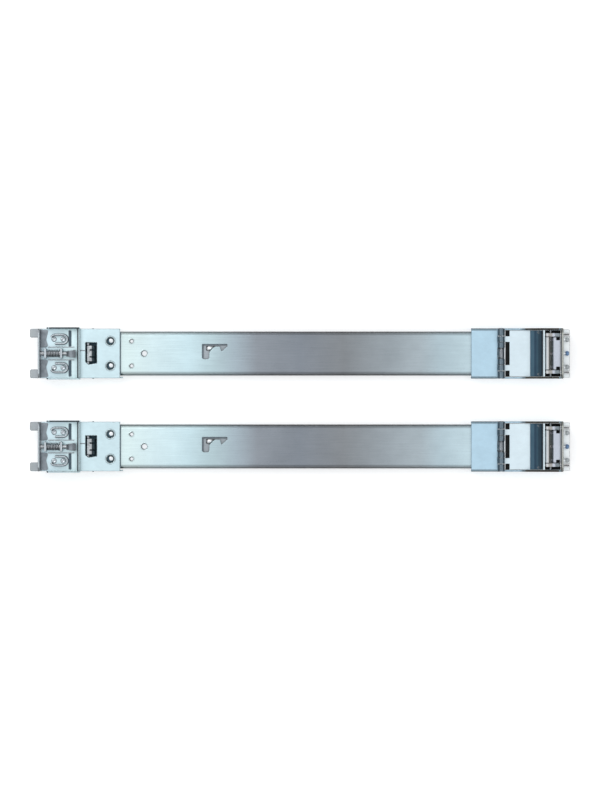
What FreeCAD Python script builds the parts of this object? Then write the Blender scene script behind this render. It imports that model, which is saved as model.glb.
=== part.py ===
import FreeCAD, Part
import math
import os

# Pair of sliding server rails for a 19-inch rack, fully closed, lying side by side with
# the faces that turn to the rack's side walls upward.
# +X runs along the rails to the front of the rack, +Z away from the server.
# Each rail: a roll-formed channel carries two nested ball-bearing members, a front bracket
# with a hinged latch, and a rear bracket that telescopes out to suit the rack's depth.

V = FreeCAD.Vector

# ---- Overall and rack interface ----
rail_length = 628.0
rail_spacing = 108.2
front_lip = 8.4
rear_ear = 10.0
hole_pitch = 15.875
opening_to_holes = 7.55
opening_clearance = 1.5
flange_height = 36.5
slide_depth = 19.0
front_face_x = rail_length / 2 - front_lip
rear_face_x = -rail_length / 2 + rear_ear
hole_z = slide_depth + opening_clearance + opening_to_holes

# ---- Channel (cabinet member) ----
channel_half = 25.6
channel_sheet = 1.5
channel_height = 15.15
channel_lip = 1.6
race_depth = 1.25
shoulder_radius = 2.5
channel_setback = 73.0
channel_rear = rear_face_x + channel_setback
channel_front_gap = 76.6
channel_front = front_face_x - channel_front_gap

# ---- Ball rows and cages ----
outer_ball_radius = 2.1
inner_ball_radius = 1.7
ball_clearance = 0.1
ball_count = 3
cage_length = 150.0
cage_sheet = 0.6
cage_clearance = 0.4
cage_end_web = 18.0
window_clearance = 0.1
slide_travel = 300.0

# ---- Middle and inner members ----
middle_sheet = 1.2
middle_step = 1.2
middle_ball_drop = 4.4
bumper_length = 4.4
bumper_height = 2.0
bumper_reach = 3.6
bumper_gap = 0.6
middle_rear = channel_rear + bumper_length + bumper_gap
middle_setback = 1.0
middle_front = channel_front - middle_setback
access_hole_radius = 5.0
access_hole_end = 54.0
inner_sheet = 1.3
inner_step = 1.15
inner_setback = 4.0
inner_rear = middle_rear + inner_setback
inner_front_gap = 3.6
inner_front = front_face_x - inner_front_gap
inner_flange_top = 4.2
server_row_pitch = 150.0
server_row_count = 3
server_first_offset = 72.0
server_first_x = inner_rear + server_first_offset
server_hole_radius = 2.6
keyhole_offset = 50.0
keyhole_entry_radius = 4.6
keyhole_slot = 5.2
keyhole_throw = 12.0

# ---- Release lever on the inner member ----
lever_setback = 112.0
lever_pivot_x = inner_front - lever_setback
lever_length = 62.0
lever_nose = 14.0
lever_shoulder = 18.0
lever_width = 9.0
lever_thickness = 2.2
lever_rivet_radius = 2.0
lever_rivet_head = 0.9
running_clearance = 0.05

# ---- Tongue of the rear bracket and its guides ----
tongue_sheet = 1.3
tongue_inset = 7.0
tongue_half = channel_half - tongue_inset
tongue_clearance = 0.3
tongue_overlap = 72.2
depth_travel = 304.8
tongue_front = channel_rear + depth_travel + tongue_overlap
guide_offset = 35.0
guide_x = channel_rear + guide_offset
guide_inset = 4.3
guide_y = tongue_half - guide_inset
guide_radius = 2.5
guide_bore = 1.7
guide_head_radius = 4.2
guide_head = 0.8
guide_side_clearance = 0.3
detent_offset = 14.8
detent_x = guide_x + detent_offset
detent_radius = 3.7

# ---- Latch cut-out in the channel web ----
cutout_offset = 82.1
cutout_x = guide_x + cutout_offset
cutout_length = 29.5
cutout_width = 8.3
cutout_drop = 17.5
cutout_top = 11.0

# ---- Front bracket ----
bracket_sheet = 2.0
bracket_side_clearance = 1.7
bracket_half = channel_half + bracket_side_clearance + bracket_sheet
bracket_bottom = 4.5
sleeve_front_length = 30.6
sleeve_front_reach = 106.5
sleeve_front_x = front_face_x - sleeve_front_reach
sleeve_front_end = sleeve_front_x + sleeve_front_length
sleeve_skirt = 4.0
lip_inset = 1.3
lip_half = bracket_half - lip_inset
cheek_top = 33.0
cheek_rise_reach = 49.6
cheek_rise_x = front_face_x - cheek_rise_reach
cheek_rise_length = 26.0
flange_corner = 5.0

# ---- Front door and its hinge ----
knuckle_radius = 4.0
hinge_gap = 0.1
hinge_x = sleeve_front_end + knuckle_radius + hinge_gap
hinge_z = slide_depth + knuckle_radius
pin_radius = 1.55
spring_half = 6.0
knuckle_gap = 0.6
knuckle_end_clearance = 0.5
knuckle_shares = (0.295, 0.315, 0.39)
door_sheet = 2.0
door_side_clearance = 0.5
door_half = bracket_half - bracket_sheet - door_side_clearance
door_edge_offset = 9.8
door_edge_x = hinge_x + door_edge_offset
door_flat_length = 23.9
slope_start_x = door_edge_x + door_flat_length
slope_first_length = 6.1
slope_break_x = slope_start_x + slope_first_length
slope_break_rise = 4.0
slope_second_length = 9.3
slope_end_x = slope_break_x + slope_second_length
slope_end_rise = 13.5
door_rim = 4.0
door_rib = 1.6
cap_sheet = 1.4
cap_inset = 0.4
cap_half = door_half - cap_inset

# ---- Post hook ----
hook_setback = 14.6
hook_pivot_x = front_face_x - hook_setback
hook_drop = 4.05
hook_pivot_z = hole_z - hook_drop
hook_pin_radius = 1.5
hook_boss_radius = 3.0
hook_spring_half = 6.4
hook_spring_radius = 2.25
hook_spring_clearance = 0.3
hook_sheet = 1.5
shell_inset = 8.0
shell_half = door_half - shell_inset
shell_crest_reach = 6.1
shell_crest_x = hook_pivot_x - shell_crest_reach
shell_crest_rise = 8.0
shell_crest_z = hook_pivot_z + shell_crest_rise
shell_bend_reach = 2.6
shell_bend_x = hook_pivot_x - shell_bend_reach
shell_valley_reach = 3.0
shell_valley_x = hook_pivot_x + shell_valley_reach
shell_valley_rise = 1.6
shell_valley_z = hook_pivot_z + shell_valley_rise
shell_reach = 11.8
shell_end_x = hook_pivot_x + shell_reach
shell_corner_slot = 3.3
shell_corner_edge = 0.1
arm_gap = 0.7
arm_inner = shell_half + arm_gap
arm_bar = 4.0
claw_sheet = 1.5
claw_inset = 2.25
claw_mid = arm_inner + claw_inset
claw_depth = 4.6
claw_tooth = 4.2
claw_side_clearance = 0.5
post_slot = 3.4

# ---- Locating pins and threaded insert ----
stud_radius = 2.8
stud_neck_radius = 2.2
stud_neck = 1.0
stud_length = 3.8
stud_nose = 2.8
stud_nose_radius = 1.3
insert_thread_radius = 1.65
insert_nose_radius = 2.3

# ---- Latch base under the door ----
base_hinge_gap = 4.8
base_rear_x = hinge_x + base_hinge_gap
base_flange_gap = 0.6
base_front_x = front_face_x - bracket_sheet - base_flange_gap
base_sheet = 2.4
base_clearance = 0.3
base_wall = 3.0
base_wall_height = 4.0
base_wall_length = 20.0
base_well_depth = 1.2

# ---- Rear bracket ----
rear_sheet = 1.5
rear_gap = 0.4
rear_side_clearance = 1.6
rear_sleeve_half = channel_half + rear_side_clearance + rear_sheet
rear_sleeve_reach = 94.7
rear_sleeve_front = rear_face_x + rear_sleeve_reach
rear_sleeve_bottom = 5.0
step_offset = 45.2
step_x = rear_face_x + step_offset
step_width = 2.9
step_height = 8.0
tray_flare = 1.6
tray_half = rear_sleeve_half + tray_flare
tray_setback = 9.8
tray_rear_x = rear_face_x + tray_setback
tray_wall_height = 12.5
rear_flange_half = tray_half - rear_sheet
ear_inner = 18.5
rear_hole_radius = 3.55
window_offset = 9.3
window_x = step_x + window_offset
window_length = 13.4
window_inset = 5.8
window_half = tongue_half - window_inset
plunged_setback = 11.2
plunged_x = rear_sleeve_front - plunged_setback
plunged_side_shift = 0.1
plunged_y = guide_y + plunged_side_shift
plunged_radius = 3.8
plunged_rim = 5.4
bump_offset = 18.1
bump_x = step_x + bump_offset
bump_radius = 1.5
stop_lug = 3.2
slit_y = 3.4
slit_width = 0.5
floor_slot_setback = 9.9
floor_slot_x = step_x - floor_slot_setback
floor_slot_width = 2.4
floor_slot_inner = 7.5
floor_slot_inset = 3.8
floor_slot_outer = tray_half - floor_slot_inset

# ---- Guide loops, rivets ----
loop_offset = 18.0
loop_x = rear_face_x + loop_offset
loop_inset = 2.0
loop_y = tongue_half - loop_inset
loop_length = 10.6
loop_radius = 5.8
loop_wall = 1.5
loop_height = 6.5
rivet_radius = 2.0
rivet_head_radius = 3.0
rivet_head = 1.0

# ---- Rear plunger ----
plunger_radius = 2.4
plunger_stand_offset = 7.0
plunger_stand_x = rear_face_x + plunger_stand_offset
plunger_stand = 2.6
plunger_stand_half = 5.5
spring_length = 15.0
collar_radius = 5.0
collar_width = 1.0
plunger_spring_radius = 4.6
plunger_block_offset = 32.5
plunger_block_x = rear_face_x + plunger_block_offset
plunger_block = 11.0
plunger_block_half = 5.2
plunger_block_taper = 1.6
plunger_block_drop = 5.5
plunger_block_rise = 4.0
plunger_grip_radius = 3.4
guide_post_gap = 0.1
guide_post = 2.4

# ---- Depth pawl in the window ----
pawl_pin_radius = 0.9
pawl_sheet = 1.2
pawl_half = 9.0
pawl_eye_radius = 1.8
pawl_reach = 9.0
pawl_pin_inset = 3.0
pawl_cut = 1.6

# ---- How finely small round forms are faceted ----
ball_flat_count = 5
eye_flat_count = 10
small_flat_count = 8
tiny_flat_count = 6
shank_flat_count = 4
chord_count = 2
cut_corner = 3.2
cut_share = 0.6
folded_bend = 1.6

# ---- Levels worked out from the sizes above ----
web_inside = slide_depth - channel_sheet
tongue_top = web_inside - tongue_clearance
tongue_bottom = tongue_top - tongue_sheet
outer_cage_top = tongue_bottom - cage_clearance
outer_cage_mid = outer_cage_top - cage_sheet / 2
middle_top = outer_cage_top - cage_sheet - cage_clearance
middle_mid = middle_top - middle_sheet / 2
outer_ball_z = middle_top - middle_ball_drop
inner_cage_mid = middle_top - middle_sheet - cage_clearance - cage_sheet / 2
outer_ball_y = channel_half - channel_sheet - ball_clearance - outer_ball_radius
middle_groove = outer_ball_y - outer_ball_radius - ball_clearance - middle_sheet / 2
middle_shoulder = middle_groove + middle_step
middle_flat = 0.62 * outer_ball_radius
middle_slope = 1.0
inner_flat = 0.65 * inner_ball_radius
inner_ball_z = outer_ball_z - middle_flat - middle_slope - inner_flat
inner_ball_y = middle_shoulder - middle_sheet / 2 - ball_clearance - inner_ball_radius
inner_groove = inner_ball_y - inner_ball_radius - ball_clearance - inner_sheet / 2
inner_shoulder = inner_groove + inner_step
bracket_top = slide_depth + bracket_sheet
lip_gap = 1.5
lip_bottom = middle_top + lip_gap
base_gap = 1.1
base_bottom = middle_top + base_gap
base_top = base_bottom + base_sheet
rear_floor = tongue_top
rear_floor_top = rear_floor + rear_sheet
rear_sleeve_mid = slide_depth + rear_gap + rear_sheet / 2
tray_wall_top = rear_floor_top + tray_wall_height
spring_rear_x = plunger_stand_x + plunger_stand
collar_x = spring_rear_x + spring_length
guide_post_x = collar_x + collar_width + guide_post_gap


# ---- Outline helpers ----
def on_xy(z):
    return lambda u, v: V(u, v, z)


def on_xz(y):
    return lambda u, v: V(u, y, v)


def on_yz(x):
    return lambda u, v: V(x, u, v)


def direction(a, b):
    length = math.hypot(b[0] - a[0], b[1] - a[1])
    return ((b[0] - a[0]) / length, (b[1] - a[1]) / length)


def shifted(point, way, distance):
    return (point[0] + way[0] * distance, point[1] + way[1] * distance)


def bend(before, at, after, radius):
    """Unit directions, tangent length, centre and turn of a rounded corner."""
    came = direction(before, at)
    goes = direction(at, after)
    turn = math.acos(max(-1.0, min(1.0, came[0] * goes[0] + came[1] * goes[1])))
    tangent = radius * math.tan(turn / 2)
    inward = direction((0, 0), (goes[0] - came[0], goes[1] - came[1]))
    centre = shifted(at, inward, radius / math.cos(turn / 2))
    return came, goes, tangent, centre, turn


def swept(centre, start, end, turn):
    """Points of an arc in short chords between two points on it."""
    radius = math.hypot(start[0] - centre[0], start[1] - centre[1])
    first = math.atan2(start[1] - centre[1], start[0] - centre[0])
    last = math.atan2(end[1] - centre[1], end[0] - centre[0])
    swing = turn if math.sin(last - first) > 0 else -turn
    angles = [first + swing * i / chord_count for i in range(chord_count + 1)]
    return [shifted(centre, (math.cos(a), math.sin(a)), radius) for a in angles]


def polygon(points, place):
    corners = [place(u, v) for u, v in points]
    return Part.Face(Part.makePolygon(corners + corners[:1]))


def outline(corners, place):
    """Flat face inside corners (u, v, radius): small radii are one cut, large ones short chords."""
    points = []
    for i, (u, v, radius) in enumerate(corners):
        before = corners[i - 1][:2]
        after = corners[(i + 1) % len(corners)][:2]
        if radius <= 0:
            points.append((u, v))
            continue
        came, goes, tangent, centre, turn = bend(before, (u, v), after, radius)
        if radius < cut_corner:
            points.append(shifted((u, v), came, -tangent * cut_share))
            points.append(shifted((u, v), goes, tangent * cut_share))
            continue
        start = shifted((u, v), came, -tangent)
        end = shifted((u, v), goes, tangent)
        points += swept(centre, start, end, turn)
    return polygon(points, place)


def strip(path, sheet, place):
    """Section of a bent sheet along its middle line (u, v, bend radius); tight bends are mitred."""
    sides = []
    for side in (1, -1):
        first = direction(path[0], path[1])
        points = [shifted(path[0][:2], (-first[1], first[0]), side * sheet / 2)]
        for i in range(1, len(path) - 1):
            at = path[i][:2]
            radius = path[i][2]
            came, goes, tangent, centre, turn = bend(path[i - 1], at, path[i + 1], radius)
            if radius < folded_bend:
                sideways = direction((0, 0), (-came[1] - goes[1], came[0] + goes[0]))
                points.append(shifted(at, sideways, side * sheet / 2 / math.cos(turn / 2)))
                continue
            start = shifted(shifted(at, came, -tangent), (-came[1], came[0]), side * sheet / 2)
            end = shifted(shifted(at, goes, tangent), (-goes[1], goes[0]), side * sheet / 2)
            points += swept(centre, start, end, turn)
        last = direction(path[-2], path[-1])
        points.append(shifted(path[-1][:2], (-last[1], last[0]), side * sheet / 2))
        sides.append(points)
    return polygon(sides[0] + sides[1][::-1], place)


def both_sides(half):
    """Section path of a channel from its half path, mirrored about the rail's middle."""
    return [(-y, z, radius) for y, z, radius in reversed(half)] + list(half)


def along_x(path, sheet, start, end):
    return strip(path, sheet, on_yz(start)).extrude(V(end - start, 0, 0))


def across(face_at, low, high):
    """Extrude along Y the face that face_at makes on the plane y = low."""
    return face_at(on_xz(low)).extrude(V(0, high - low, 0))


def block(x0, x1, y0, y1, z0, z1):
    return Part.makeBox(x1 - x0, y1 - y0, z1 - z0, V(x0, y0, z0))


def rod(x, y, z, radius, length, axis, flats=0):
    """Cylinder, or a prism of that many flats whose corners lie on the radius."""
    start = V(x, y, z)
    axis = V(*axis)
    if not flats:
        return Part.makeCylinder(radius, length, start, axis)
    side = V(0, 0, 1) if abs(axis.z) < 0.5 else V(1, 0, 0)
    other = axis.cross(side)
    corners = []
    for i in range(flats):
        turn = 2 * math.pi * (i + 0.5) / flats
        corners.append(start + side * (radius * math.cos(turn)) + other * (radius * math.sin(turn)))
    return Part.Face(Part.makePolygon(corners + corners[:1])).extrude(axis * length)


def rod_y(x, z, radius, low, high, flats=0):
    return rod(x, low, z, radius, high - low, (0, 1, 0), flats)


def rod_z(x, y, radius, low, high, flats=0):
    return rod(x, y, low, radius, high - low, (0, 0, 1), flats)


def clear_of(radius, flats):
    """Corner radius of a prism whose flats stand at the given radius."""
    return radius / math.cos(math.pi / flats)


def slot(x0, x1, y, half_width, low, high):
    """Long round-ended tool along X."""
    middle = block(x0 + half_width, x1 - half_width, y - half_width, y + half_width, low, high)
    corner = clear_of(half_width, small_flat_count)
    ends = [rod_z(x, y, corner, low, high, small_flat_count)
            for x in (x0 + half_width, x1 - half_width)]
    return middle.fuse(ends).removeSplitter()


def merged(first, others):
    return first.fuse(others).removeSplitter()


def one_solid(shape):
    return shape.Solids[0] if len(shape.Solids) == 1 else shape


def stacked(rings, origin, axis, flats):
    """Closed solid of flat facets through rings (distance along axis, radius), no bore."""
    axis = V(*axis)
    side = V(0, 0, 1) if abs(axis.z) < 0.5 else V(1, 0, 0)
    other = axis.cross(side)
    loops = []
    for along, radius in rings:
        loop = []
        for i in range(flats):
            turn = 2 * math.pi * (i + 0.5) / flats
            loop.append(origin + axis * along + side * (radius * math.cos(turn))
                        + other * (radius * math.sin(turn)))
        loops.append(loop)
    faces = [Part.Face(Part.makePolygon(loop + loop[:1])) for loop in (loops[0], loops[-1])]
    for low, high in zip(loops, loops[1:]):
        for i in range(flats):
            j = (i + 1) % flats
            faces.append(Part.Face(Part.makePolygon([low[i], low[j], high[j], high[i], low[i]])))
    solid = Part.Solid(Part.Shell(faces))
    return solid if solid.Volume > 0 else solid.reversed()


def coil_sleeve(origin, axis, length, outer, bore, turns):
    """Close-wound spring: one ridge for each turn round a clear bore."""
    pitch = length / turns
    groove = min(pitch * 0.3, (outer - bore) * 0.5)
    rings = [(0, outer - groove)]
    for turn in range(turns):
        rings.append(((turn + 0.5) * pitch, outer))
        rings.append(((turn + 1) * pitch, outer - groove))
    sleeve = stacked(rings, origin, axis, tiny_flat_count)
    start = origin - V(*axis)
    clear = clear_of(bore, tiny_flat_count)
    return sleeve.cut(rod(start.x, start.y, start.z, clear, length + 2, axis, tiny_flat_count))


def faceted_ball(centre, radius):
    """Ball as flat facets whose corners lie on its sphere."""
    rings = []
    for latitude in (-55, 0, 55):
        turn = math.radians(latitude)
        rings.append((radius * math.sin(turn), radius * math.cos(turn)))
    return stacked(rings, centre, (0, 1, 0), ball_flat_count)


# ---- Slide members ----
def channel_half_path():
    mid = channel_half - channel_sheet / 2
    shoulder = mid - race_depth
    top = slide_depth - channel_sheet / 2
    bottom = slide_depth - channel_height + channel_sheet / 2
    flat = 0.57 * outer_ball_radius
    slope = race_depth
    return [
        (shoulder, top, shoulder_radius),
        (shoulder, outer_ball_z + flat + slope, 1.0),
        (mid, outer_ball_z + flat, 1.2),
        (mid, outer_ball_z - flat, 1.2),
        (shoulder, outer_ball_z - flat - slope, 1.0),
        (shoulder, bottom, channel_sheet / 2 + 0.4),
        (shoulder - channel_lip, bottom, 0),
    ]


def latch_cutout():
    """L-shaped opening whose inner corner sweeps in one curve, with a spur on the long arm."""
    left = cutout_x
    right = cutout_x + cutout_length
    top = cutout_top
    stem = left + cutout_width
    corners = [
        (left, top, 1.0),
        (right, top, 1.1),
        (right, top - 2.6, 0.6),
        (right - 5.5, top - 7.4, 0.5),
        (right - 7.0, top - 8.6, 0.3),
        (right - 8.6, top - 2.9, 0.6),
        (stem + 6.0, top - 2.9, 4.5),
        (stem, top - cutout_drop * 0.55, 2.5),
        (stem, top - cutout_drop, 2.4),
        (left, top - cutout_drop, 2.4),
    ]
    face = outline(corners, on_xy(web_inside - 1))
    return face.extrude(V(0, 0, channel_sheet + 2))


def outer_channel():
    body = along_x(both_sides(channel_half_path()), channel_sheet, channel_rear, channel_front)
    low = web_inside - 1
    high = slide_depth + 1
    guide_corner = clear_of(guide_radius, small_flat_count)
    holes = [rod_z(guide_x, side * guide_y, guide_corner, low, high, small_flat_count)
             for side in (1, -1)]
    holes.append(rod_z(detent_x, 0, detent_radius, low, high, eye_flat_count))
    return body.cut(holes + [latch_cutout()])


def middle_half_path():
    drop = middle_flat + middle_slope
    return [
        (middle_shoulder, middle_mid, middle_sheet / 2 + 0.3),
        (middle_shoulder, outer_ball_z + drop, 0.8),
        (middle_groove, outer_ball_z + middle_flat, 0.9),
        (middle_groove, outer_ball_z - middle_flat, 0.9),
        (middle_shoulder, outer_ball_z - drop, 0.9),
        (middle_shoulder, inner_ball_z - inner_flat, 0.9),
        (middle_groove, inner_ball_z - inner_flat - middle_slope, 0.8),
        (middle_groove, inner_ball_z - inner_flat - 2 * middle_slope - 0.2, 0),
    ]


def middle_member():
    body = along_x(both_sides(middle_half_path()), middle_sheet, middle_rear, middle_front)
    holes = []
    for x in (middle_rear + access_hole_end, middle_front - access_hole_end):
        holes.append(rod_z(x, 0, access_hole_radius, middle_top - middle_sheet - 1,
                           middle_top + 1, small_flat_count))
    return body.cut(holes)


def inner_half_path():
    flat = 0.68 * inner_ball_radius
    slope = 0.95
    return [
        (inner_shoulder, inner_sheet / 2, inner_sheet / 2 + 0.8),
        (inner_shoulder, inner_ball_z - flat - slope, 0.8),
        (inner_groove, inner_ball_z - flat, 0.9),
        (inner_groove, inner_ball_z + flat, 0.9),
        (inner_shoulder, inner_ball_z + flat + slope, 0.8),
        (inner_shoulder, inner_ball_z + inner_flange_top, 0),
    ]


def keyhole(x, low, high):
    entry = rod_z(x, 0, clear_of(keyhole_entry_radius, tiny_flat_count), low, high, tiny_flat_count)
    throw = slot(x, x + keyhole_throw, 0, keyhole_slot / 2, low, high)
    return entry.fuse(throw)


def inner_member():
    body = along_x(both_sides(inner_half_path()), inner_sheet, inner_rear, inner_front)
    low = -1
    high = inner_sheet + 1
    cuts = []
    for row in range(server_row_count):
        x = server_first_x + row * server_row_pitch
        cuts.append(keyhole(x - keyhole_offset, low, high))
        if row in (0, server_row_count - 1):
            cuts.append(rod_z(x, 0, server_hole_radius, low, high))
    cuts.append(rod_z(lever_pivot_x, 0, clear_of(lever_rivet_radius, small_flat_count), low, high,
                      small_flat_count))
    return body.cut(cuts)


def ball_places(centre, ball_y, ball_z):
    pitch = cage_length / ball_count
    places = []
    for side in (1, -1):
        for i in range(ball_count):
            x = centre + (i - (ball_count - 1) / 2) * pitch
            places.append(V(x, side * ball_y, ball_z))
    return places


def ball_cage(centre, web_mid, ball_y, ball_z, radius):
    """Thin channel with a square window for each ball and an opened web."""
    bottom = ball_z - radius - 0.9
    half = [(ball_y, web_mid, cage_sheet / 2 + 0.3), (ball_y, bottom, 0)]
    start = centre - cage_length / 2
    body = along_x(both_sides(half), cage_sheet, start, start + cage_length)
    reach = radius + window_clearance
    cuts = []
    for place in ball_places(centre, ball_y, ball_z):
        if place.y > 0:
            window = block(place.x - reach, place.x + reach, -ball_y - 2, ball_y + 2,
                           ball_z - reach, ball_z + reach)
            cuts.append(window)
    end = start + cage_length
    cuts.append(block(start + cage_end_web, end - cage_end_web, -ball_y * 0.7, ball_y * 0.7,
                      web_mid - cage_sheet, web_mid + cage_sheet))
    return body.cut(cuts)


def outer_cage_x():
    """Cage centre when closed, so that it stays in both members at full travel."""
    return (middle_rear + middle_front + slide_travel) / 2 - slide_travel / 2


def inner_cage_x():
    return (inner_rear + middle_front + slide_travel) / 2 - slide_travel / 2


def outer_ball_cage():
    return ball_cage(outer_cage_x(), outer_cage_mid, outer_ball_y, outer_ball_z,
                     outer_ball_radius)


def outer_balls():
    places = ball_places(outer_cage_x(), outer_ball_y, outer_ball_z)
    return Part.makeCompound([faceted_ball(place, outer_ball_radius) for place in places])


def inner_ball_cage():
    return ball_cage(inner_cage_x(), inner_cage_mid, inner_ball_y, inner_ball_z,
                     inner_ball_radius)


def inner_balls():
    places = ball_places(inner_cage_x(), inner_ball_y, inner_ball_z)
    return Part.makeCompound([faceted_ball(place, inner_ball_radius) for place in places])


def channel_bumpers():
    """Rubber stops on the channel's inner walls behind the closed middle member."""
    wall = channel_half - channel_sheet - race_depth
    pads = []
    for side in (1, -1):
        corners = [
            (channel_rear, side * wall, 0),
            (channel_rear, side * (wall - bumper_reach), 0.8),
            (channel_rear + bumper_length, side * (wall - bumper_reach), 0.8),
            (channel_rear + bumper_length, side * wall, 0),
        ]
        top = web_inside - shoulder_radius
        face = outline(corners, on_xy(top - bumper_height))
        pads.append(face.extrude(V(0, 0, bumper_height)))
    return Part.makeCompound(pads)


def release_lever():
    """Flat lever inside the inner member, with a thumb end and a catch end."""
    low = inner_sheet + running_clearance
    half = lever_width / 2
    tail = lever_pivot_x + lever_length
    nose = lever_pivot_x - lever_nose
    corners = [
        (nose, -half * 0.6, 0),
        (lever_pivot_x - 5, -half, 0),
        (lever_pivot_x + 8, -half, 0),
        (lever_pivot_x + lever_shoulder, -half * 0.4, 0),
        (tail - 12, -half * 0.4, 0),
        (tail - 6, -half * 0.9, 0),
        (tail, -half * 0.9, 2.0),
        (tail, half * 0.9, 2.0),
        (tail - 6, half * 0.9, 0),
        (tail - 12, half * 0.4, 0),
        (lever_pivot_x + lever_shoulder, half * 0.4, 0),
        (lever_pivot_x + 8, half, 0),
        (lever_pivot_x - 5, half, 0),
        (nose, half * 1.5, 0),
    ]
    plate = outline(corners, on_xy(low)).extrude(V(0, 0, lever_thickness))
    thumb = rod_z(tail - 3, 0, half * 0.7, low, low + lever_thickness + 2.5, small_flat_count)
    bore = rod_z(lever_pivot_x, 0, clear_of(lever_rivet_radius + running_clearance, small_flat_count),
                 low - 1, low + lever_thickness + 1, small_flat_count)
    return merged(plate, [thumb]).cut(bore)


def lever_rivet():
    low = inner_sheet + running_clearance
    head = low + lever_thickness + running_clearance
    shank = rod_z(lever_pivot_x, 0, lever_rivet_radius, 0.1, head)
    cap = rod_z(lever_pivot_x, 0, lever_rivet_radius * 1.8, head, head + lever_rivet_head,
                small_flat_count)
    return merged(shank, [cap])


# ---- Front bracket, door and hook ----
def knuckle_spans():
    """Low and high ends, on the +Y side, of the middle, door and end knuckles."""
    spans = []
    start = spring_half + knuckle_gap
    room = bracket_half - knuckle_end_clearance - spring_half - 3 * knuckle_gap
    for share in knuckle_shares:
        width = share * room
        spans.append((start, start + width))
        start += width + knuckle_gap
    return spans


def mirrored_spans(span):
    low, high = span
    return [(low, high), (-high, -low)]


def knuckles(spans, plate_x):
    """Rolled hinge eyes with the strips that join them to a plate's edge at plate_x."""
    pieces = []
    for low, high in spans:
        pieces.append(rod_y(hinge_x, hinge_z, clear_of(knuckle_radius, eye_flat_count), low, high,
                            eye_flat_count))
        start, end = sorted((hinge_x, plate_x))
        pieces.append(block(start, end, low, high, slide_depth, bracket_top))
    return pieces


def hinge_bore():
    reach = bracket_half + 1
    radius = clear_of(pin_radius + running_clearance, small_flat_count)
    return rod_y(hinge_x, hinge_z, radius, -reach, reach, small_flat_count)


def front_cheek(low):
    """Side wall of the front bracket, raised beside the latch."""
    top = slide_depth + 0.5
    rise_end = cheek_rise_x + cheek_rise_length
    corners = [
        (sleeve_front_x, bracket_bottom, 0),
        (front_face_x, bracket_bottom, 3.0),
        (front_face_x, cheek_top, flange_corner),
        (rise_end, cheek_top, 8.0),
        (cheek_rise_x, top, 10.0),
        (sleeve_front_x, top, 0),
    ]
    return outline(corners, on_xz(low)).extrude(V(0, bracket_sheet, 0))


def front_flange():
    corners = [
        (-bracket_half, lip_bottom, 0),
        (bracket_half, lip_bottom, 0),
        (bracket_half, flange_height, flange_corner),
        (-bracket_half, flange_height, flange_corner),
    ]
    plate = outline(corners, on_yz(front_face_x - bracket_sheet))
    return plate.extrude(V(bracket_sheet, 0, 0))


def claw_gap(x0, x1, top):
    """Clear passages for the two claws."""
    width = claw_sheet / 2 + claw_side_clearance
    gaps = []
    for side in (1, -1):
        mid = side * claw_mid
        gaps.append(block(x0, x1, mid - width, mid + width, lip_bottom - 4, top))
    return gaps


def front_bracket():
    wall_mid = bracket_half - bracket_sheet / 2
    top_mid = slide_depth + bracket_sheet / 2
    half = [(wall_mid, top_mid, bracket_sheet), (wall_mid, slide_depth - sleeve_skirt, 0)]
    sleeve = along_x(both_sides(half), bracket_sheet, sleeve_front_x, sleeve_front_end)
    cheeks = [front_cheek(bracket_half - bracket_sheet), front_cheek(-bracket_half)]
    for i, low in enumerate((bracket_half - bracket_sheet, -bracket_half)):
        trim = block(sleeve_front_x - 1, sleeve_front_end, low - 0.5, low + bracket_sheet + 0.5,
                     slide_depth - sleeve_skirt + 1, cheek_top)
        cheeks[i] = cheeks[i].cut(trim)
    mid_span, _, end_span = knuckle_spans()
    own = mirrored_spans(mid_span) + mirrored_spans(end_span)
    lip = block(front_face_x - bracket_sheet, front_face_x + front_lip, -lip_half, lip_half,
                lip_bottom, lip_bottom + bracket_sheet)
    body = merged(sleeve, cheeks + knuckles(own, sleeve_front_end - 1) + [front_flange(), lip])
    holes = [hinge_bore()]
    reach = bracket_half + 1
    holes.append(rod_y(hook_pivot_x, hook_pivot_z, clear_of(hook_pin_radius, small_flat_count),
                       -reach, reach, small_flat_count))
    for row in (-1, 0, 1):
        holes.append(rod(front_face_x - bracket_sheet - 1, row * hole_pitch, hole_z,
                         stud_neck_radius, bracket_sheet + 2, (1, 0, 0), tiny_flat_count))
    gaps = claw_gap(front_face_x - bracket_sheet - 1, front_face_x + front_lip + 1,
                    hook_pivot_z - 1.5)
    return body.cut(holes + gaps)


def stud_shank(y):
    length = bracket_sheet + stud_neck
    start = front_face_x - bracket_sheet
    return rod(start, y, hole_z, stud_neck_radius, length, (1, 0, 0), tiny_flat_count)


def nose(y, tip_radius, length):
    """Blunt tapered end in front of a stud's round body."""
    start = V(front_face_x + stud_neck + stud_length, y, hole_z)
    rings = [(0, stud_radius * 0.96), (length * 0.6, (stud_radius * 2 + tip_radius) / 3),
             (length, tip_radius)]
    return stacked(rings, start, (1, 0, 0), small_flat_count)


def locating_pins():
    """Two necked studs, each riveted in the flange, with a round body that fits the post."""
    pins = []
    for side in (1, -1):
        y = side * hole_pitch
        body = rod(front_face_x + stud_neck, y, hole_z, stud_radius, stud_length, (1, 0, 0))
        pins.append(merged(body, [stud_shank(y), nose(y, stud_nose_radius, stud_nose)]))
    return Part.makeCompound(pins)


def threaded_insert():
    """Round-ended insert between the pins, pressed in the flange and bored for a screw."""
    body = rod(front_face_x + stud_neck, 0, hole_z, stud_radius, stud_length, (1, 0, 0),
               small_flat_count)
    blank = merged(body, [stud_shank(0), nose(0, insert_nose_radius, stud_nose)])
    length = bracket_sheet + stud_neck + stud_length + stud_nose
    bore = rod(front_face_x - bracket_sheet - 1, 0, hole_z, insert_thread_radius, length + 2,
               (1, 0, 0))
    return blank.cut(bore)


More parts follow.
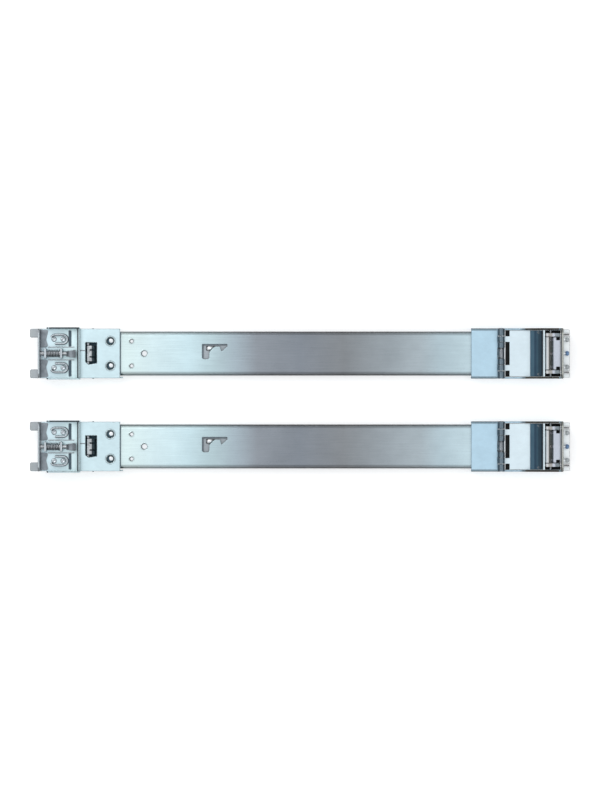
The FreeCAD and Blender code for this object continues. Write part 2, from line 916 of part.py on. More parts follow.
def hinge_pin():
    end = knuckle_spans()[-1][1]
    pin = rod_y(hinge_x, hinge_z, pin_radius, -end - 0.3, end + 0.3)
    head = rod_y(hinge_x, hinge_z, pin_radius * 1.6, end + 0.3, end + 1.1, tiny_flat_count)
    return merged(pin, [head])


def door_spring():
    origin = V(hinge_x, -spring_half + 0.3, hinge_z)
    length = 2 * spring_half - 0.6
    return coil_sleeve(origin, (0, 1, 0), length, knuckle_radius - 0.2, pin_radius + 0.3, 3)


def door_path():
    level = slide_depth + door_sheet / 2
    return [
        (door_edge_x, level, 0),
        (slope_start_x, level, 3.0),
        (slope_break_x, level + slope_break_rise, 1.0),
        (slope_end_x, level + slope_end_rise, door_sheet / 2 + 0.4),
        (slope_end_x, level + slope_end_rise + door_rim, 0),
    ]


def latch_door():
    _, door_span, _ = knuckle_spans()
    leaf = across(lambda place: strip(door_path(), door_sheet, place), -door_half, door_half)
    level = slide_depth + door_sheet / 2
    ribs = []
    for side in (1, -1):
        low = min(side * (door_half - door_rib), side * door_half)
        corners = [
            (slope_start_x, slide_depth, 0),
            (slope_break_x + 3, slide_depth, 3.0),
            (slope_end_x - 1, level + slope_end_rise - 6, 1.0),
            (slope_end_x - 1, level + slope_end_rise, 0),
            (slope_break_x, level + slope_break_rise, 0),
            (slope_start_x, level, 0),
        ]
        ribs.append(outline(corners, on_xz(low)).extrude(V(0, door_rib, 0)))
    arms = knuckles(mirrored_spans(door_span), door_edge_x + 1)
    return merged(leaf, ribs + arms).cut(hinge_bore())


def raised_corner(before, at, after, lift):
    """Where two lines drawn beside a bent path, at the given distance, meet."""
    came, goes, _, _, turn = bend(before, at, after, 1.0)
    sideways = direction((0, 0), (-came[1] - goes[1], came[0] + goes[0]))
    return shifted(at, sideways, lift / math.cos(turn / 2))


def door_cap():
    """Moulded cover on the sloped part of the door."""
    level = slide_depth + door_sheet / 2
    first = (slope_start_x, level)
    middle = (slope_break_x, level + slope_break_rise)
    last = (slope_end_x, level + slope_end_rise)
    lift = door_sheet / 2 + cap_sheet / 2
    low_way = direction(first, middle)
    high_way = direction(middle, last)
    start = shifted(shifted(first, low_way, 1.6), (-low_way[1], low_way[0]), lift)
    turn = raised_corner(first, middle, last, lift)
    end = shifted(shifted(last, high_way, -1.9), (-high_way[1], high_way[0]), lift)
    path = [(start[0], start[1], 0), (turn[0], turn[1], 1.0), (end[0], end[1], 0)]
    return across(lambda place: strip(path, cap_sheet, place), -cap_half, cap_half)


def latch_base():
    """Moulded floor under the door and hook, with a low wall along each cheek."""
    half = bracket_half - bracket_sheet - base_clearance
    floor = block(base_rear_x, base_front_x, -half, half, base_bottom, base_top)
    walls = []
    for side in (1, -1):
        low = min(side * half, side * (half - base_wall))
        walls.append(block(base_front_x - base_wall_length, base_front_x, low, low + base_wall,
                           base_top, base_top + base_wall_height))
    body = merged(floor, walls)
    gaps = claw_gap(hook_pivot_x - 6, base_front_x + 1, base_top + 1)
    reach = hook_spring_half + 0.6
    well = block(hook_pivot_x - reach, hook_pivot_x + reach, -reach, reach,
                 base_top - base_well_depth, base_top + 1)
    return body.cut(gaps + [well])


def hook_shell_path():
    return [
        (shell_crest_x, shell_crest_z - 0.8, 0),
        (shell_bend_x, shell_crest_z, 2.0),
        (shell_valley_x, shell_valley_z, 3.0),
        (shell_end_x, shell_valley_z - 0.4, 0),
    ]


def claw(low):
    """Flat claw from the pivot, under the lip of the flange, to the tooth before the post."""
    bottom = lip_bottom - 0.8
    reach = front_face_x + post_slot
    tip = reach + claw_tooth
    top = bottom + claw_depth
    corners = [
        (hook_pivot_x - 3.5, hook_pivot_z - 2.5, 1.5),
        (hook_pivot_x - 2.0, bottom + 1.5, 3.0),
        (hook_pivot_x + 4.0, bottom, 3.0),
        (tip, bottom, 1.5),
        (tip, top + 3.4, 1.0),
        (reach + 1.2, top + 4.2, 0.6),
        (reach, top, 1.0),
        (hook_pivot_x + 7.0, top, 2.5),
        (hook_pivot_x + 4.5, hook_pivot_z + 2.6, 2.0),
        (hook_pivot_x - 3.5, hook_pivot_z + 2.6, 2.0),
    ]
    return outline(corners, on_xz(low)).extrude(V(0, claw_sheet, 0))


def post_hook():
    shell = across(lambda place: strip(hook_shell_path(), hook_sheet, place),
                   -shell_half, shell_half)
    outer = arm_inner + arm_bar
    barrel = rod_y(hook_pivot_x, hook_pivot_z, hook_boss_radius, -outer, outer, small_flat_count)
    pieces = [barrel]
    for side in (1, -1):
        pieces.append(claw(side * claw_mid - claw_sheet / 2))
        low = min(side * arm_inner, side * outer)
        corners = [
            (shell_crest_x, hook_pivot_z + 2.0, 1.2),
            (shell_end_x - 0.8, hook_pivot_z, 1.2),
            (shell_end_x - 0.8, hook_pivot_z + 2.2, 1.0),
            (hook_pivot_x + 4, hook_pivot_z + 4.6, 4.0),
            (shell_crest_x, hook_pivot_z + 5.4, 1.2),
        ]
        pieces.append(outline(corners, on_xz(low)).extrude(V(0, arm_bar, 0)))
    body = merged(shell, pieces)
    bore = clear_of(hook_pin_radius + running_clearance, small_flat_count)
    cuts = [rod_y(hook_pivot_x, hook_pivot_z, bore, -outer - 1, outer + 1, small_flat_count)]
    reach = hook_spring_half + 0.6
    cuts.append(rod_y(hook_pivot_x, hook_pivot_z, hook_spring_radius + hook_spring_clearance,
                      -reach, reach, small_flat_count))
    for side in (1, -1):
        edge = shell_half - shell_corner_edge
        low = min(side * edge, side * (edge - shell_corner_slot))
        cuts.append(block(shell_end_x - 5.2, shell_end_x - 0.9, low, low + shell_corner_slot,
                          shell_valley_z - 3, shell_valley_z + 3))
    return body.cut(cuts)


def hook_pin():
    return rod_y(hook_pivot_x, hook_pivot_z, hook_pin_radius, -bracket_half, bracket_half)


def hook_spring():
    origin = V(hook_pivot_x, -hook_spring_half, hook_pivot_z)
    return coil_sleeve(origin, (0, 1, 0), 2 * hook_spring_half, hook_spring_radius,
                       hook_pin_radius + 0.2, 3)


# ---- Rear bracket and what it carries ----
def rear_cheek(low):
    corners = [
        (step_x + step_width, rear_sleeve_bottom, 0),
        (step_x + step_width, tray_wall_top, 0),
        (tray_rear_x, tray_wall_top, 3.0),
        (tray_rear_x, rear_floor, 0),
        (tray_rear_x + 14, rear_sleeve_bottom, 4.0),
    ]
    return outline(corners, on_xz(low)).extrude(V(0, rear_sheet, 0))


def rear_flange():
    half = rear_flange_half
    corners = [
        (-half, rear_floor, 0),
        (half, rear_floor, 0),
        (half, flange_height, flange_corner),
        (-half, flange_height, flange_corner),
    ]
    return outline(corners, on_yz(rear_face_x)).extrude(V(bracket_sheet, 0, 0))


def rear_floor_plate():
    """Floor of the rear tray with the two ears that run past the flange."""
    half = rear_flange_half
    ear_x = -rail_length / 2
    corners = [
        (step_x + 1, tray_half - 0.2, 0),
        (tray_rear_x, tray_half - 0.2, 0),
        (tray_rear_x, half, 0),
        (ear_x, half, 2.0),
        (ear_x, ear_inner, 2.0),
        (rear_face_x, ear_inner, 0),
        (rear_face_x, -ear_inner, 0),
        (ear_x, -ear_inner, 2.0),
        (ear_x, -half, 2.0),
        (tray_rear_x, -half, 0),
        (tray_rear_x, -tray_half + 0.2, 0),
        (step_x + 1, -tray_half + 0.2, 0),
    ]
    return outline(corners, on_xy(rear_floor)).extrude(V(0, 0, rear_sheet))


def rear_sleeve():
    wall_mid = rear_sleeve_half - rear_sheet / 2
    half = [(wall_mid, rear_sleeve_mid, rear_sheet), (wall_mid, rear_sleeve_bottom, 0)]
    body = along_x(both_sides(half), rear_sheet, step_x + step_width - 0.5, rear_sleeve_front)
    low = rear_sleeve_mid - rear_sheet
    high = rear_sleeve_mid + rear_sheet
    window = [
        (window_x, -window_half + 3, 0),
        (window_x + 3.5, -window_half, 0),
        (window_x + window_length, -window_half + 1.5, 0),
        (window_x + window_length, window_half, 0),
        (window_x, window_half, 0),
    ]
    cuts = [outline(window, on_xy(low)).extrude(V(0, 0, high - low))]
    cuts.append(block(step_x + step_width, window_x + 1, slit_y - slit_width / 2,
                      slit_y + slit_width / 2, low, high))
    top = rear_sleeve_mid + rear_sheet / 2
    for side in (1, -1):
        centre = V(plunged_x, side * plunged_y, 0)
        rings = [(low, plunged_radius), (top - 1.0, plunged_radius), (top + 0.1, plunged_rim)]
        cuts.append(stacked(rings, centre, (0, 0, 1), eye_flat_count))
    return body.cut(cuts)


def rear_bracket():
    sleeve = rear_sleeve()
    step_top = rear_floor_top + step_height
    pieces = [rear_floor_plate(), rear_flange()]
    pieces.append(block(step_x, step_x + step_width, -tray_half + 0.5, tray_half - 0.5,
                        rear_floor, step_top))
    pieces.append(rear_cheek(tray_half - rear_sheet))
    pieces.append(rear_cheek(-tray_half))
    stand_top = hole_z + plunger_stand_half * 0.8
    for x, width in ((plunger_stand_x, plunger_stand), (guide_post_x, guide_post)):
        pieces.append(block(x, x + width, -plunger_stand_half, plunger_stand_half,
                            rear_floor, stand_top))
    for side in (1, -1):
        wall = side * (rear_sleeve_half - 0.6)
        pieces.append(rod_z(bump_x, wall, bump_radius, rear_sleeve_bottom + 3, slide_depth - 1,
                            tiny_flat_count))
    lug_low = -rear_sleeve_half
    pieces.append(block(rear_sleeve_front - 2, rear_sleeve_front + stop_lug, lug_low,
                        lug_low + rear_sheet, rear_sleeve_bottom + 2, slide_depth - 2))
    body = merged(sleeve, pieces)
    cuts = []
    for side in (1, -1):
        cuts.append(rod(rear_face_x - 1, side * hole_pitch, hole_z, rear_hole_radius,
                        bracket_sheet + 2, (1, 0, 0)))
        low = min(side * floor_slot_inner, side * floor_slot_outer)
        cuts.append(block(floor_slot_x, floor_slot_x + floor_slot_width, low,
                          low + floor_slot_outer - floor_slot_inner,
                          rear_floor - 1, rear_floor_top + 1))
        for x in rivet_rows():
            cuts.append(rod_z(x, side * loop_y, rivet_radius, rear_floor - 1,
                              rear_floor_top + 1, shank_flat_count))
    cuts.append(rod(rear_face_x - 1, 0, hole_z, clear_of(plunger_radius + 0.3, tiny_flat_count),
                    guide_post_x + guide_post - rear_face_x + 2, (1, 0, 0), tiny_flat_count))
    return body.cut(cuts)


def rivet_rows():
    return (loop_x, loop_x + loop_length)


def rear_tongue():
    rear = loop_x - 7
    corners = [
        (rear, -tongue_half, 2.0),
        (tongue_front, -tongue_half, 4.0),
        (tongue_front, tongue_half, 4.0),
        (rear, tongue_half, 2.0),
    ]
    plate = outline(corners, on_xy(tongue_bottom)).extrude(V(0, 0, tongue_sheet))
    low = tongue_bottom - 1
    high = tongue_top + 1
    width = guide_radius + guide_side_clearance
    cuts = []
    for side in (1, -1):
        cuts.append(slot(guide_x - width - 1, guide_x + depth_travel + width + 1,
                         side * guide_y, width, low, high))
        for x in rivet_rows():
            cuts.append(rod_z(x, side * loop_y, rivet_radius, low, high, shank_flat_count))
    cuts.append(block(window_x, window_x + window_length + 0.5, -window_half, window_half,
                      low, high))
    return plate.cut(cuts)


def tongue_guide_rivets():
    """Tubular shoulder rivets in the channel web that run in the tongue's long slots."""
    head_top = tongue_bottom - 0.1
    rivets = []
    for side in (1, -1):
        y = side * guide_y
        shank = rod_z(guide_x, y, guide_radius, head_top, slide_depth, small_flat_count)
        head = rod_z(guide_x, y, guide_head_radius, head_top - guide_head, head_top, tiny_flat_count)
        bore = rod_z(guide_x, y, guide_bore, head_top + 0.5, slide_depth + 1, tiny_flat_count)
        rivets.append(merged(shank, [head]).cut(bore))
    return Part.makeCompound(rivets)


def rear_rivets():
    rivets = []
    for side in (1, -1):
        for x in rivet_rows():
            shank = rod_z(x, side * loop_y, rivet_radius, tongue_bottom, rear_floor_top,
                          shank_flat_count)
            head = rod_z(x, side * loop_y, rivet_head_radius, rear_floor_top,
                         rear_floor_top + rivet_head, tiny_flat_count)
            rivets.append(merged(shank, [head]))
    return Part.makeCompound(rivets)


def guide_loops():
    """Two obround loops round the rivets, each with a hooked post at its rear end."""
    top = rear_floor_top + loop_height
    loops = []
    for side in (1, -1):
        y = side * loop_y
        outer = slot(loop_x - loop_radius * 0.8, loop_x + loop_length + loop_radius, y,
                     loop_radius, rear_floor_top, top)
        inner_half_width = loop_radius - loop_wall
        inner = slot(loop_x - loop_radius * 0.8 + loop_wall, loop_x + loop_length
                     + inner_half_width, y, inner_half_width, rear_floor_top - 1, top + 1)
        mouth = block(loop_x - loop_radius - 1, loop_x - 1.5, y - loop_radius - 1, y,
                      rear_floor_top - 1, top + 1)
        if side < 0:
            mouth.translate(V(0, loop_radius + 1, 0))
        loops.append(one_solid(outer.cut(inner).cut(mouth)))
    return Part.makeCompound(loops)


def rear_plunger():
    nose_x = rear_face_x + 0.2
    reach = plunger_block_x + 1 - nose_x
    shaft = rod(nose_x, 0, hole_z, plunger_radius, reach, (1, 0, 0), small_flat_count)
    collar = rod(collar_x, 0, hole_z, collar_radius, collar_width, (1, 0, 0), tiny_flat_count)
    half = plunger_block_half
    end = plunger_block_x + plunger_block
    low = hole_z - plunger_block_drop
    high = hole_z + plunger_block_rise
    corners = [
        (plunger_block_x, -half + plunger_block_taper, 0.8),
        (end, -half, 1.2),
        (end, half - 1, 1.2),
        (plunger_block_x, half - 1 - plunger_block_taper, 0.8),
    ]
    tab = outline(corners, on_xy(low)).extrude(V(0, 0, high - low))
    finger = rod_y(end - plunger_grip_radius, high + 1.2, plunger_grip_radius, -half - 1,
                   half + 1, small_flat_count)
    return merged(shaft, [collar, tab]).cut(finger)


def plunger_spring():
    origin = V(spring_rear_x + 0.05, 0, hole_z)
    return coil_sleeve(origin, (1, 0, 0), spring_length - 0.1, plunger_spring_radius,
                       plunger_radius + 0.3, 4)


def pawl_axis():
    return window_x + pawl_pin_inset, tongue_top + 0.15 + pawl_pin_radius


def depth_pawl():
    """Sprung plate in the sleeve's window, bowed up between its eye and its toe."""
    x, z = pawl_axis()
    eye = rod_y(x, z, pawl_eye_radius, -pawl_half, pawl_half, small_flat_count)
    path = [
        (x + 0.5, z + pawl_eye_radius - pawl_sheet / 2, 0),
        (x + pawl_reach * 0.45, z + pawl_eye_radius + 0.6, 1.0),
        (x + pawl_reach, z - 1.8, 0),
    ]
    plate = across(lambda place: strip(path, pawl_sheet, place), -pawl_half, pawl_half)
    body = merged(eye, [plate])
    bore = clear_of(pawl_pin_radius + running_clearance, small_flat_count)
    cuts = [rod_y(x, z, bore, -pawl_half - 1, pawl_half + 1, small_flat_count)]
    for side in (1, -1):
        low = side * pawl_half * 0.45 - pawl_cut / 2
        cuts.append(block(x + pawl_eye_radius, x + pawl_reach + 2, low, low + pawl_cut,
                          z - pawl_reach, z + pawl_reach))
    return body.cut(cuts)


def pawl_pin():
    x, z = pawl_axis()
    reach = window_half + 3.5
    return rod_y(x, z, pawl_pin_radius, -reach, reach)


SUB_PARTS = (
    outer_channel, channel_bumpers, tongue_guide_rivets,
    outer_ball_cage, outer_balls, middle_member, inner_ball_cage, inner_balls,
    inner_member, release_lever, lever_rivet,
    front_bracket, locating_pins, threaded_insert, hinge_pin, latch_door, door_cap,
    door_spring, latch_base, post_hook, hook_pin, hook_spring,
    rear_bracket, rear_tongue, rear_rivets, guide_loops, rear_plunger, plunger_spring,
    depth_pawl, pawl_pin,
)

os.makedirs("parts", exist_ok=True)
for make in SUB_PARTS:
    shape = one_solid(make())
    for side_name, y in (("left", rail_spacing / 2), ("right", -rail_spacing / 2)):
        placed = shape.translated(V(0, y, 0))
        placed.exportStep("parts/" + side_name + "_" + make.__name__ + ".step")
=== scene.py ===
import math

import bmesh
import bpy
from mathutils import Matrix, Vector
from mathutils.bvhtree import BVHTree


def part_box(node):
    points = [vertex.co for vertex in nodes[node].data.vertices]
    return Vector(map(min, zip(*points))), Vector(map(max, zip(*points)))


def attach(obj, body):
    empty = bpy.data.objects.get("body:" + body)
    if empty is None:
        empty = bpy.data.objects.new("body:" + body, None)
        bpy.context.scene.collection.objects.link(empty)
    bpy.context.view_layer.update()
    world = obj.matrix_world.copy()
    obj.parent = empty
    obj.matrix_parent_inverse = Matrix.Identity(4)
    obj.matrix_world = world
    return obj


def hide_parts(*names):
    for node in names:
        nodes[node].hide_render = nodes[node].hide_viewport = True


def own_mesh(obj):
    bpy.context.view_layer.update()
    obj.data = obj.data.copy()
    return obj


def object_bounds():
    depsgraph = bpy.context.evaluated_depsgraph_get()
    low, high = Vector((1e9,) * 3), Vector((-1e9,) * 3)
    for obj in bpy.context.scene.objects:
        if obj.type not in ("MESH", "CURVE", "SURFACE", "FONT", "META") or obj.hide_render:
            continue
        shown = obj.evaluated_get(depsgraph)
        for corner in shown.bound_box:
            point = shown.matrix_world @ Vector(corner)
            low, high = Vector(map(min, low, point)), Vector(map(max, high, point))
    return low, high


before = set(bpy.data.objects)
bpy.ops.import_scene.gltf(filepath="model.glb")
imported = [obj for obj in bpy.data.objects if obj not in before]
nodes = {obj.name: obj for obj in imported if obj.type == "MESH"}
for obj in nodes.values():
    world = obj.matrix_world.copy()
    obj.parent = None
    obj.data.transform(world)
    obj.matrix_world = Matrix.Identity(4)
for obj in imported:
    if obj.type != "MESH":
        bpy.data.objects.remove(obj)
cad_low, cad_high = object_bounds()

MM = 0.001  # metres
SIDES = ("left", "right")


def linear(r, g, b):
    """Linear colour from 8-bit screen values."""
    return tuple(((v / 255) / 12.92 if v <= 10 else ((v / 255 + 0.055) / 1.055) ** 2.4)
                 for v in (r, g, b)) + (1.0,)


# ---- Materials ----
class Nodes:
    """Short way to add and join shader nodes."""

    def __init__(self, material):
        self.material = material
        material.use_nodes = True
        self.tree = material.node_tree
        self.tree.nodes.clear()
        self.out = self.add("ShaderNodeOutputMaterial")
        self.bsdf = self.add("ShaderNodeBsdfPrincipled")
        self.join(self.bsdf.outputs[0], self.out.inputs[0])
        self.place = self.add("ShaderNodeTexCoord").outputs["Object"]

    def add(self, kind, **settings):
        node = self.tree.nodes.new(kind)
        for key, value in settings.items():
            setattr(node, key, value)
        return node

    def join(self, a, b):
        self.tree.links.new(a, b)

    def noise(self, scale, stretch=(1, 1, 1), detail=3.0, rough=0.55):
        mapping = self.add("ShaderNodeMapping")
        mapping.inputs["Scale"].default_value = stretch
        self.join(self.place, mapping.inputs["Vector"])
        noise = self.add("ShaderNodeTexNoise")
        noise.inputs["Scale"].default_value = scale
        noise.inputs["Detail"].default_value = detail
        noise.inputs["Roughness"].default_value = rough
        self.join(mapping.outputs[0], noise.inputs["Vector"])
        return noise.outputs["Fac"]

    def ramp(self, value, stops):
        ramp = self.add("ShaderNodeValToRGB")
        elements = ramp.color_ramp.elements
        while len(elements) < len(stops):
            elements.new(0.5)
        for element, (at, colour) in zip(elements, stops):
            element.position = at
            element.color = (*colour, 1)
        self.join(value, ramp.inputs[0])
        return ramp.outputs[0]

    def fit(self, value, low, high, to_low, to_high):
        """Range low to high mapped on to_low to to_high, and held there."""
        node = self.add("ShaderNodeMapRange")
        for key, number in zip(("From Min", "From Max", "To Min", "To Max"),
                               (low, high, to_low, to_high)):
            node.inputs[key].default_value = number
        self.join(value, node.inputs["Value"])
        return node.outputs[0]

    def maths(self, operation, a, b):
        node = self.add("ShaderNodeMath", operation=operation)
        for socket, value in zip(node.inputs, (a, b)):
            if isinstance(value, (int, float)):
                socket.default_value = value
            else:
                self.join(value, socket)
        return node.outputs[0]

    def mix(self, factor, a, b, blend="MIX"):
        node = self.add("ShaderNodeMix", data_type="RGBA", blend_type=blend)
        sockets = (node.inputs[0], node.inputs[6], node.inputs[7])
        for socket, value in zip(sockets, (factor, a, b)):
            if isinstance(value, (int, float, tuple)):
                socket.default_value = value
            else:
                self.join(value, socket)
        return node.outputs[2]

    def edges(self, radius):
        """Rounded normal, and a mask of the sharp edges."""
        bevel = self.add("ShaderNodeBevel", samples=4)
        bevel.inputs["Radius"].default_value = radius
        geometry = self.add("ShaderNodeNewGeometry")
        dot = self.add("ShaderNodeVectorMath", operation="DOT_PRODUCT")
        self.join(bevel.outputs[0], dot.inputs[0])
        self.join(geometry.outputs["Normal"], dot.inputs[1])
        return bevel.outputs[0], self.fit(dot.outputs["Value"], 0.995, 0.8, 0, 1)

    def bump(self, height, strength, distance, normal=None):
        bump = self.add("ShaderNodeBump")
        bump.inputs["Strength"].default_value = strength
        bump.inputs["Distance"].default_value = distance
        self.join(height, bump.inputs["Height"])
        if normal is not None:
            self.join(normal, bump.inputs["Normal"])
        return bump.outputs[0]

    def painted_corner_shade(self, reach, floor):
        """Painted shade: white in the open and darker, down to the given level, in corners and
        recesses.
        """
        cover = self.add("ShaderNodeAmbientOcclusion", samples=6)
        cover.inputs["Distance"].default_value = reach
        return self.grey(self.fit(cover.outputs["AO"], 0.35, 0.95, floor, 1))

    def grey(self, level):
        """A level from 0 to 1 as a colour."""
        return self.ramp(level, [(0.0, (0, 0, 0)), (1.0, (1, 1, 1))])

    def along(self, painted_light_bands):
        """Painted light and shade that changes along the rail, from stops (x in metres, linear
        colour).
        """
        first, last = painted_light_bands[0][0], painted_light_bands[-1][0]
        share = self.fit(self.parted()[0], first, last, 0, 1)
        return self.ramp(share, [((at - first) / (last - first), colour) for at, colour in painted_light_bands])

    def painted_bend_shade(self, normal, depth, start):
        """Painted shade: darker where the plated sheet turns over an edge or a bent corner,
        whatever the pose.
        """
        turned = self.add("ShaderNodeVectorTransform", vector_type="NORMAL", convert_from="WORLD",
                          convert_to="OBJECT")
        self.join(normal, turned.inputs[0])
        split = self.add("ShaderNodeSeparateXYZ")
        self.join(turned.outputs[0], split.inputs[0])
        low = (1 - depth,) * 3
        return self.ramp(self.maths("ABSOLUTE", split.outputs[2], 0.0),
                         [(0.0, (1, 1, 1)), (0.1, low), (start - 0.12, low), (start, (1, 1, 1))])

    def shoulder_shade_line(self, rail, at):
        """Painted shade: a pale strip and a faint darker line along both edges of the rolled
        section.
        """
        across = self.maths("SUBTRACT", self.maths("ABSOLUTE", self.parted()[1], 0.0), rail)
        share = self.fit(self.maths("ABSOLUTE", across, 0.0), at - 0.002, at + 0.002, 0, 1)
        return self.ramp(share, [(0.0, (0.97,) * 3), (0.36, (0.96,) * 3), (0.44, (0.8,) * 3),
                                 (0.54, (0.8,) * 3), (0.62, (1, 1, 1))])

    def parted(self):
        """The three object coordinates, in metres."""
        split = self.add("ShaderNodeSeparateXYZ")
        self.join(self.place, split.inputs[0])
        return split.outputs


finish = {}


def metal(name, light, rough=0.34, streak=(4, 260, 60), streaks=0.35,
          worn=(0.86, 0.88, 0.9), wear=0.5, painted_light_bands=None, blotch=26.0, edge=0.0006, grain=0.25,
          corner_shade=0.55, reach=0.005, cloudy=0.12, bend_shade=None, shoulder_shade_line=None, metallic=1.0):
    """Plated or brushed steel: streaks, cloudy plating, rubbed edges, painted shade in corners,
    grain.

    Colour stops give the plating's colour, with light and shade painted in, at distances along the
    rail.
    The shade on bends is given by its depth and the start of the painted shade on bends and edges,
    and the painted line on the shoulders by the middle of each rail and the distance of its edges
    from there, in metres.
    """
    n = Nodes(bpy.data.materials.new("finish_" + name))
    finish[name] = n.material
    n.bsdf.inputs["Metallic"].default_value = metallic
    cloud = n.noise(blotch, detail=5.0, rough=0.6)
    lines = n.noise(6.0, streak, detail=5.0, rough=0.62)
    speck = n.noise(2600, detail=2.0, rough=0.5)
    tone = n.along(painted_light_bands) if painted_light_bands else light
    shade = n.maths("MULTIPLY", n.fit(cloud, 0.32, 0.68, 1 - cloudy, 1),
                    n.fit(lines, 0.3, 0.7, 1 - streaks * 0.5, 1))
    tone = n.mix(1.0, tone, n.grey(shade), "MULTIPLY")
    normal, mask = n.edges(edge)
    rub = n.maths("MULTIPLY", mask, n.fit(n.noise(140), 0.35, 0.6, 0, 1))
    rub = n.maths("MULTIPLY", rub, wear)
    tone = n.mix(rub, tone, (*worn, 1))
    # Painted shade on bends and edges, multiplied into the colour.
    if bend_shade:
        tone = n.mix(1.0, tone, n.painted_bend_shade(normal, *bend_shade), "MULTIPLY")
    # Painted shade line along both shoulders of the rolled section.
    if shoulder_shade_line:
        tone = n.mix(1.0, tone, n.shoulder_shade_line(*shoulder_shade_line), "MULTIPLY")
    # Painted shade: the colour darkens in corners and recesses, by ambient occlusion.
    if corner_shade:
        tone = n.mix(1.0, tone, n.painted_corner_shade(reach, 1 - corner_shade), "MULTIPLY")
    n.join(tone, n.bsdf.inputs["Base Color"])
    gloss = n.maths("ADD", n.fit(lines, 0.25, 0.75, rough - 0.06, rough + 0.08),
                    n.fit(speck, 0.3, 0.7, -0.03, 0.03))
    n.join(gloss, n.bsdf.inputs["Roughness"])
    relief = n.maths("ADD", n.maths("MULTIPLY", lines, 0.7), n.maths("MULTIPLY", speck, 0.3))
    n.join(n.bump(relief, grain, 0.00006, normal), n.bsdf.inputs["Normal"])


def plastic(name, light, dark, rough, spec, edge_light=(0.2, 0.22, 0.25), grain_scale=1800,
            grain=0.3, wear=0.35, painted_light_bands=None):
    """Moulded plastic or rubber: fine grain, soft mottling, scuffed edges, and painted light and
    shade along the rail where colour stops are given.
    """
    n = Nodes(bpy.data.materials.new("finish_" + name))
    finish[name] = n.material
    n.bsdf.inputs["Specular IOR Level"].default_value = spec
    cloud = n.noise(60, detail=4.0)
    fine = n.noise(grain_scale, detail=3.0, rough=0.6)
    tone = n.mix(n.fit(cloud, 0.3, 0.7, 0, 1), dark, light)
    if painted_light_bands:
        tone = n.mix(1.0, tone, n.along(painted_light_bands), "MULTIPLY")
    normal, mask = n.edges(0.0003)
    rub = n.maths("MULTIPLY", mask, n.fit(n.noise(220), 0.4, 0.65, 0, 1))
    rub = n.maths("MULTIPLY", rub, wear)
    tone = n.mix(rub, tone, (*edge_light, 1))
    n.join(tone, n.bsdf.inputs["Base Color"])
    n.join(n.fit(fine, 0.3, 0.7, rough - 0.07, rough + 0.1), n.bsdf.inputs["Roughness"])
    n.join(n.bump(fine, grain, 0.00005, normal), n.bsdf.inputs["Normal"])


EVEN = (60, 60, 60)  # streaks with no direction
# Plating colours with painted light, shade and reflection along the rail: x in metres, linear
# colour.
CHANNEL_PAINTED_LIGHT = [
    (-0.232, (0.82, 0.98, 0.98)), (-0.2, (0.82, 0.98, 0.98)), (-0.168, (0.76, 0.93, 0.965)),
    (-0.13, (0.70, 0.895, 0.95)), (-0.1, (0.567, 0.714, 0.756)), (-0.075, (0.465, 0.556, 0.614)),
    (-0.05, (0.338, 0.369, 0.41)), (-0.02, (0.297, 0.325, 0.364)), (0.0, (0.276, 0.304, 0.344)),
    (0.05, (0.286, 0.302, 0.32)), (0.1, (0.38, 0.425, 0.458)), (0.14, (0.478, 0.55, 0.59)),
    (0.165, (0.548, 0.68, 0.74)), (0.2, (0.655, 0.815, 0.875))]
BRACKET_PAINTED_LIGHT = [
    (-0.314, (0.42, 0.455, 0.47)), (-0.305, (0.44, 0.475, 0.5)), (-0.3045, (0.56, 0.6, 0.63)),
    (-0.302, (0.56, 0.6, 0.63)), (-0.3, (0.68, 0.84, 0.91)),
    (-0.259, (0.79, 0.97, 1.0)), (-0.256, (0.68, 0.85, 0.9)), (-0.206, (0.68, 0.85, 0.9)),
    (0.19, (0.53, 0.73, 0.86)), (0.303, (0.53, 0.73, 0.86)), (0.3036, (0.5, 0.5, 0.44)),
    (0.3055, (0.5, 0.5, 0.44)), (0.3057, (0.92, 0.97, 0.985)),
    (0.314, (0.95, 0.98, 0.98))]
# Painted reflection on the chrome hook: light flats, a dark band over its bend, and a dark line at
# the flange.
HOOK_PAINTED_REFLECTION = [
    (0.28, (0.84, 0.85, 0.86)), (0.2838, (0.84, 0.85, 0.86)), (0.2846, (0.7, 0.71, 0.72)),
    (0.2878, (0.7, 0.71, 0.72)), (0.2888, (0.45, 0.435, 0.415)), (0.2925, (0.44, 0.43, 0.415)),
    (0.2937, (0.62, 0.66, 0.74)), (0.3052, (0.62, 0.66, 0.74)), (0.3056, (0.12, 0.125, 0.135))]
# Painted highlight and shade on the pawl: light on its rear half, dark on its front half.
PAWL_PAINTED_LIGHT = [
    (-0.2485, (0.74, 0.78, 0.8)), (-0.2428, (0.76, 0.8, 0.83)), (-0.2418, (0.24, 0.3, 0.34)),
    (-0.237, (0.16, 0.22, 0.25))]
# Painted light and shade on the cap's slopes and creases: the cap's colour is multiplied by these.
CAP_PAINTED_SHADE = [
    (0.266, (1.1, 1.06, 0.95)), (0.2716, (1.1, 1.06, 0.95)), (0.2726, (0.62, 0.6, 0.6)),
    (0.2738, (0.62, 0.6, 0.6)), (0.2748, (0.85, 0.82, 0.74)), (0.276, (0.85, 0.82, 0.74)),
    (0.277, (0.56, 0.52, 0.47)), (0.2793, (0.5, 0.47, 0.43)), (0.28, (0.24, 0.23, 0.23)),
    (0.284, (0.24, 0.23, 0.23))]

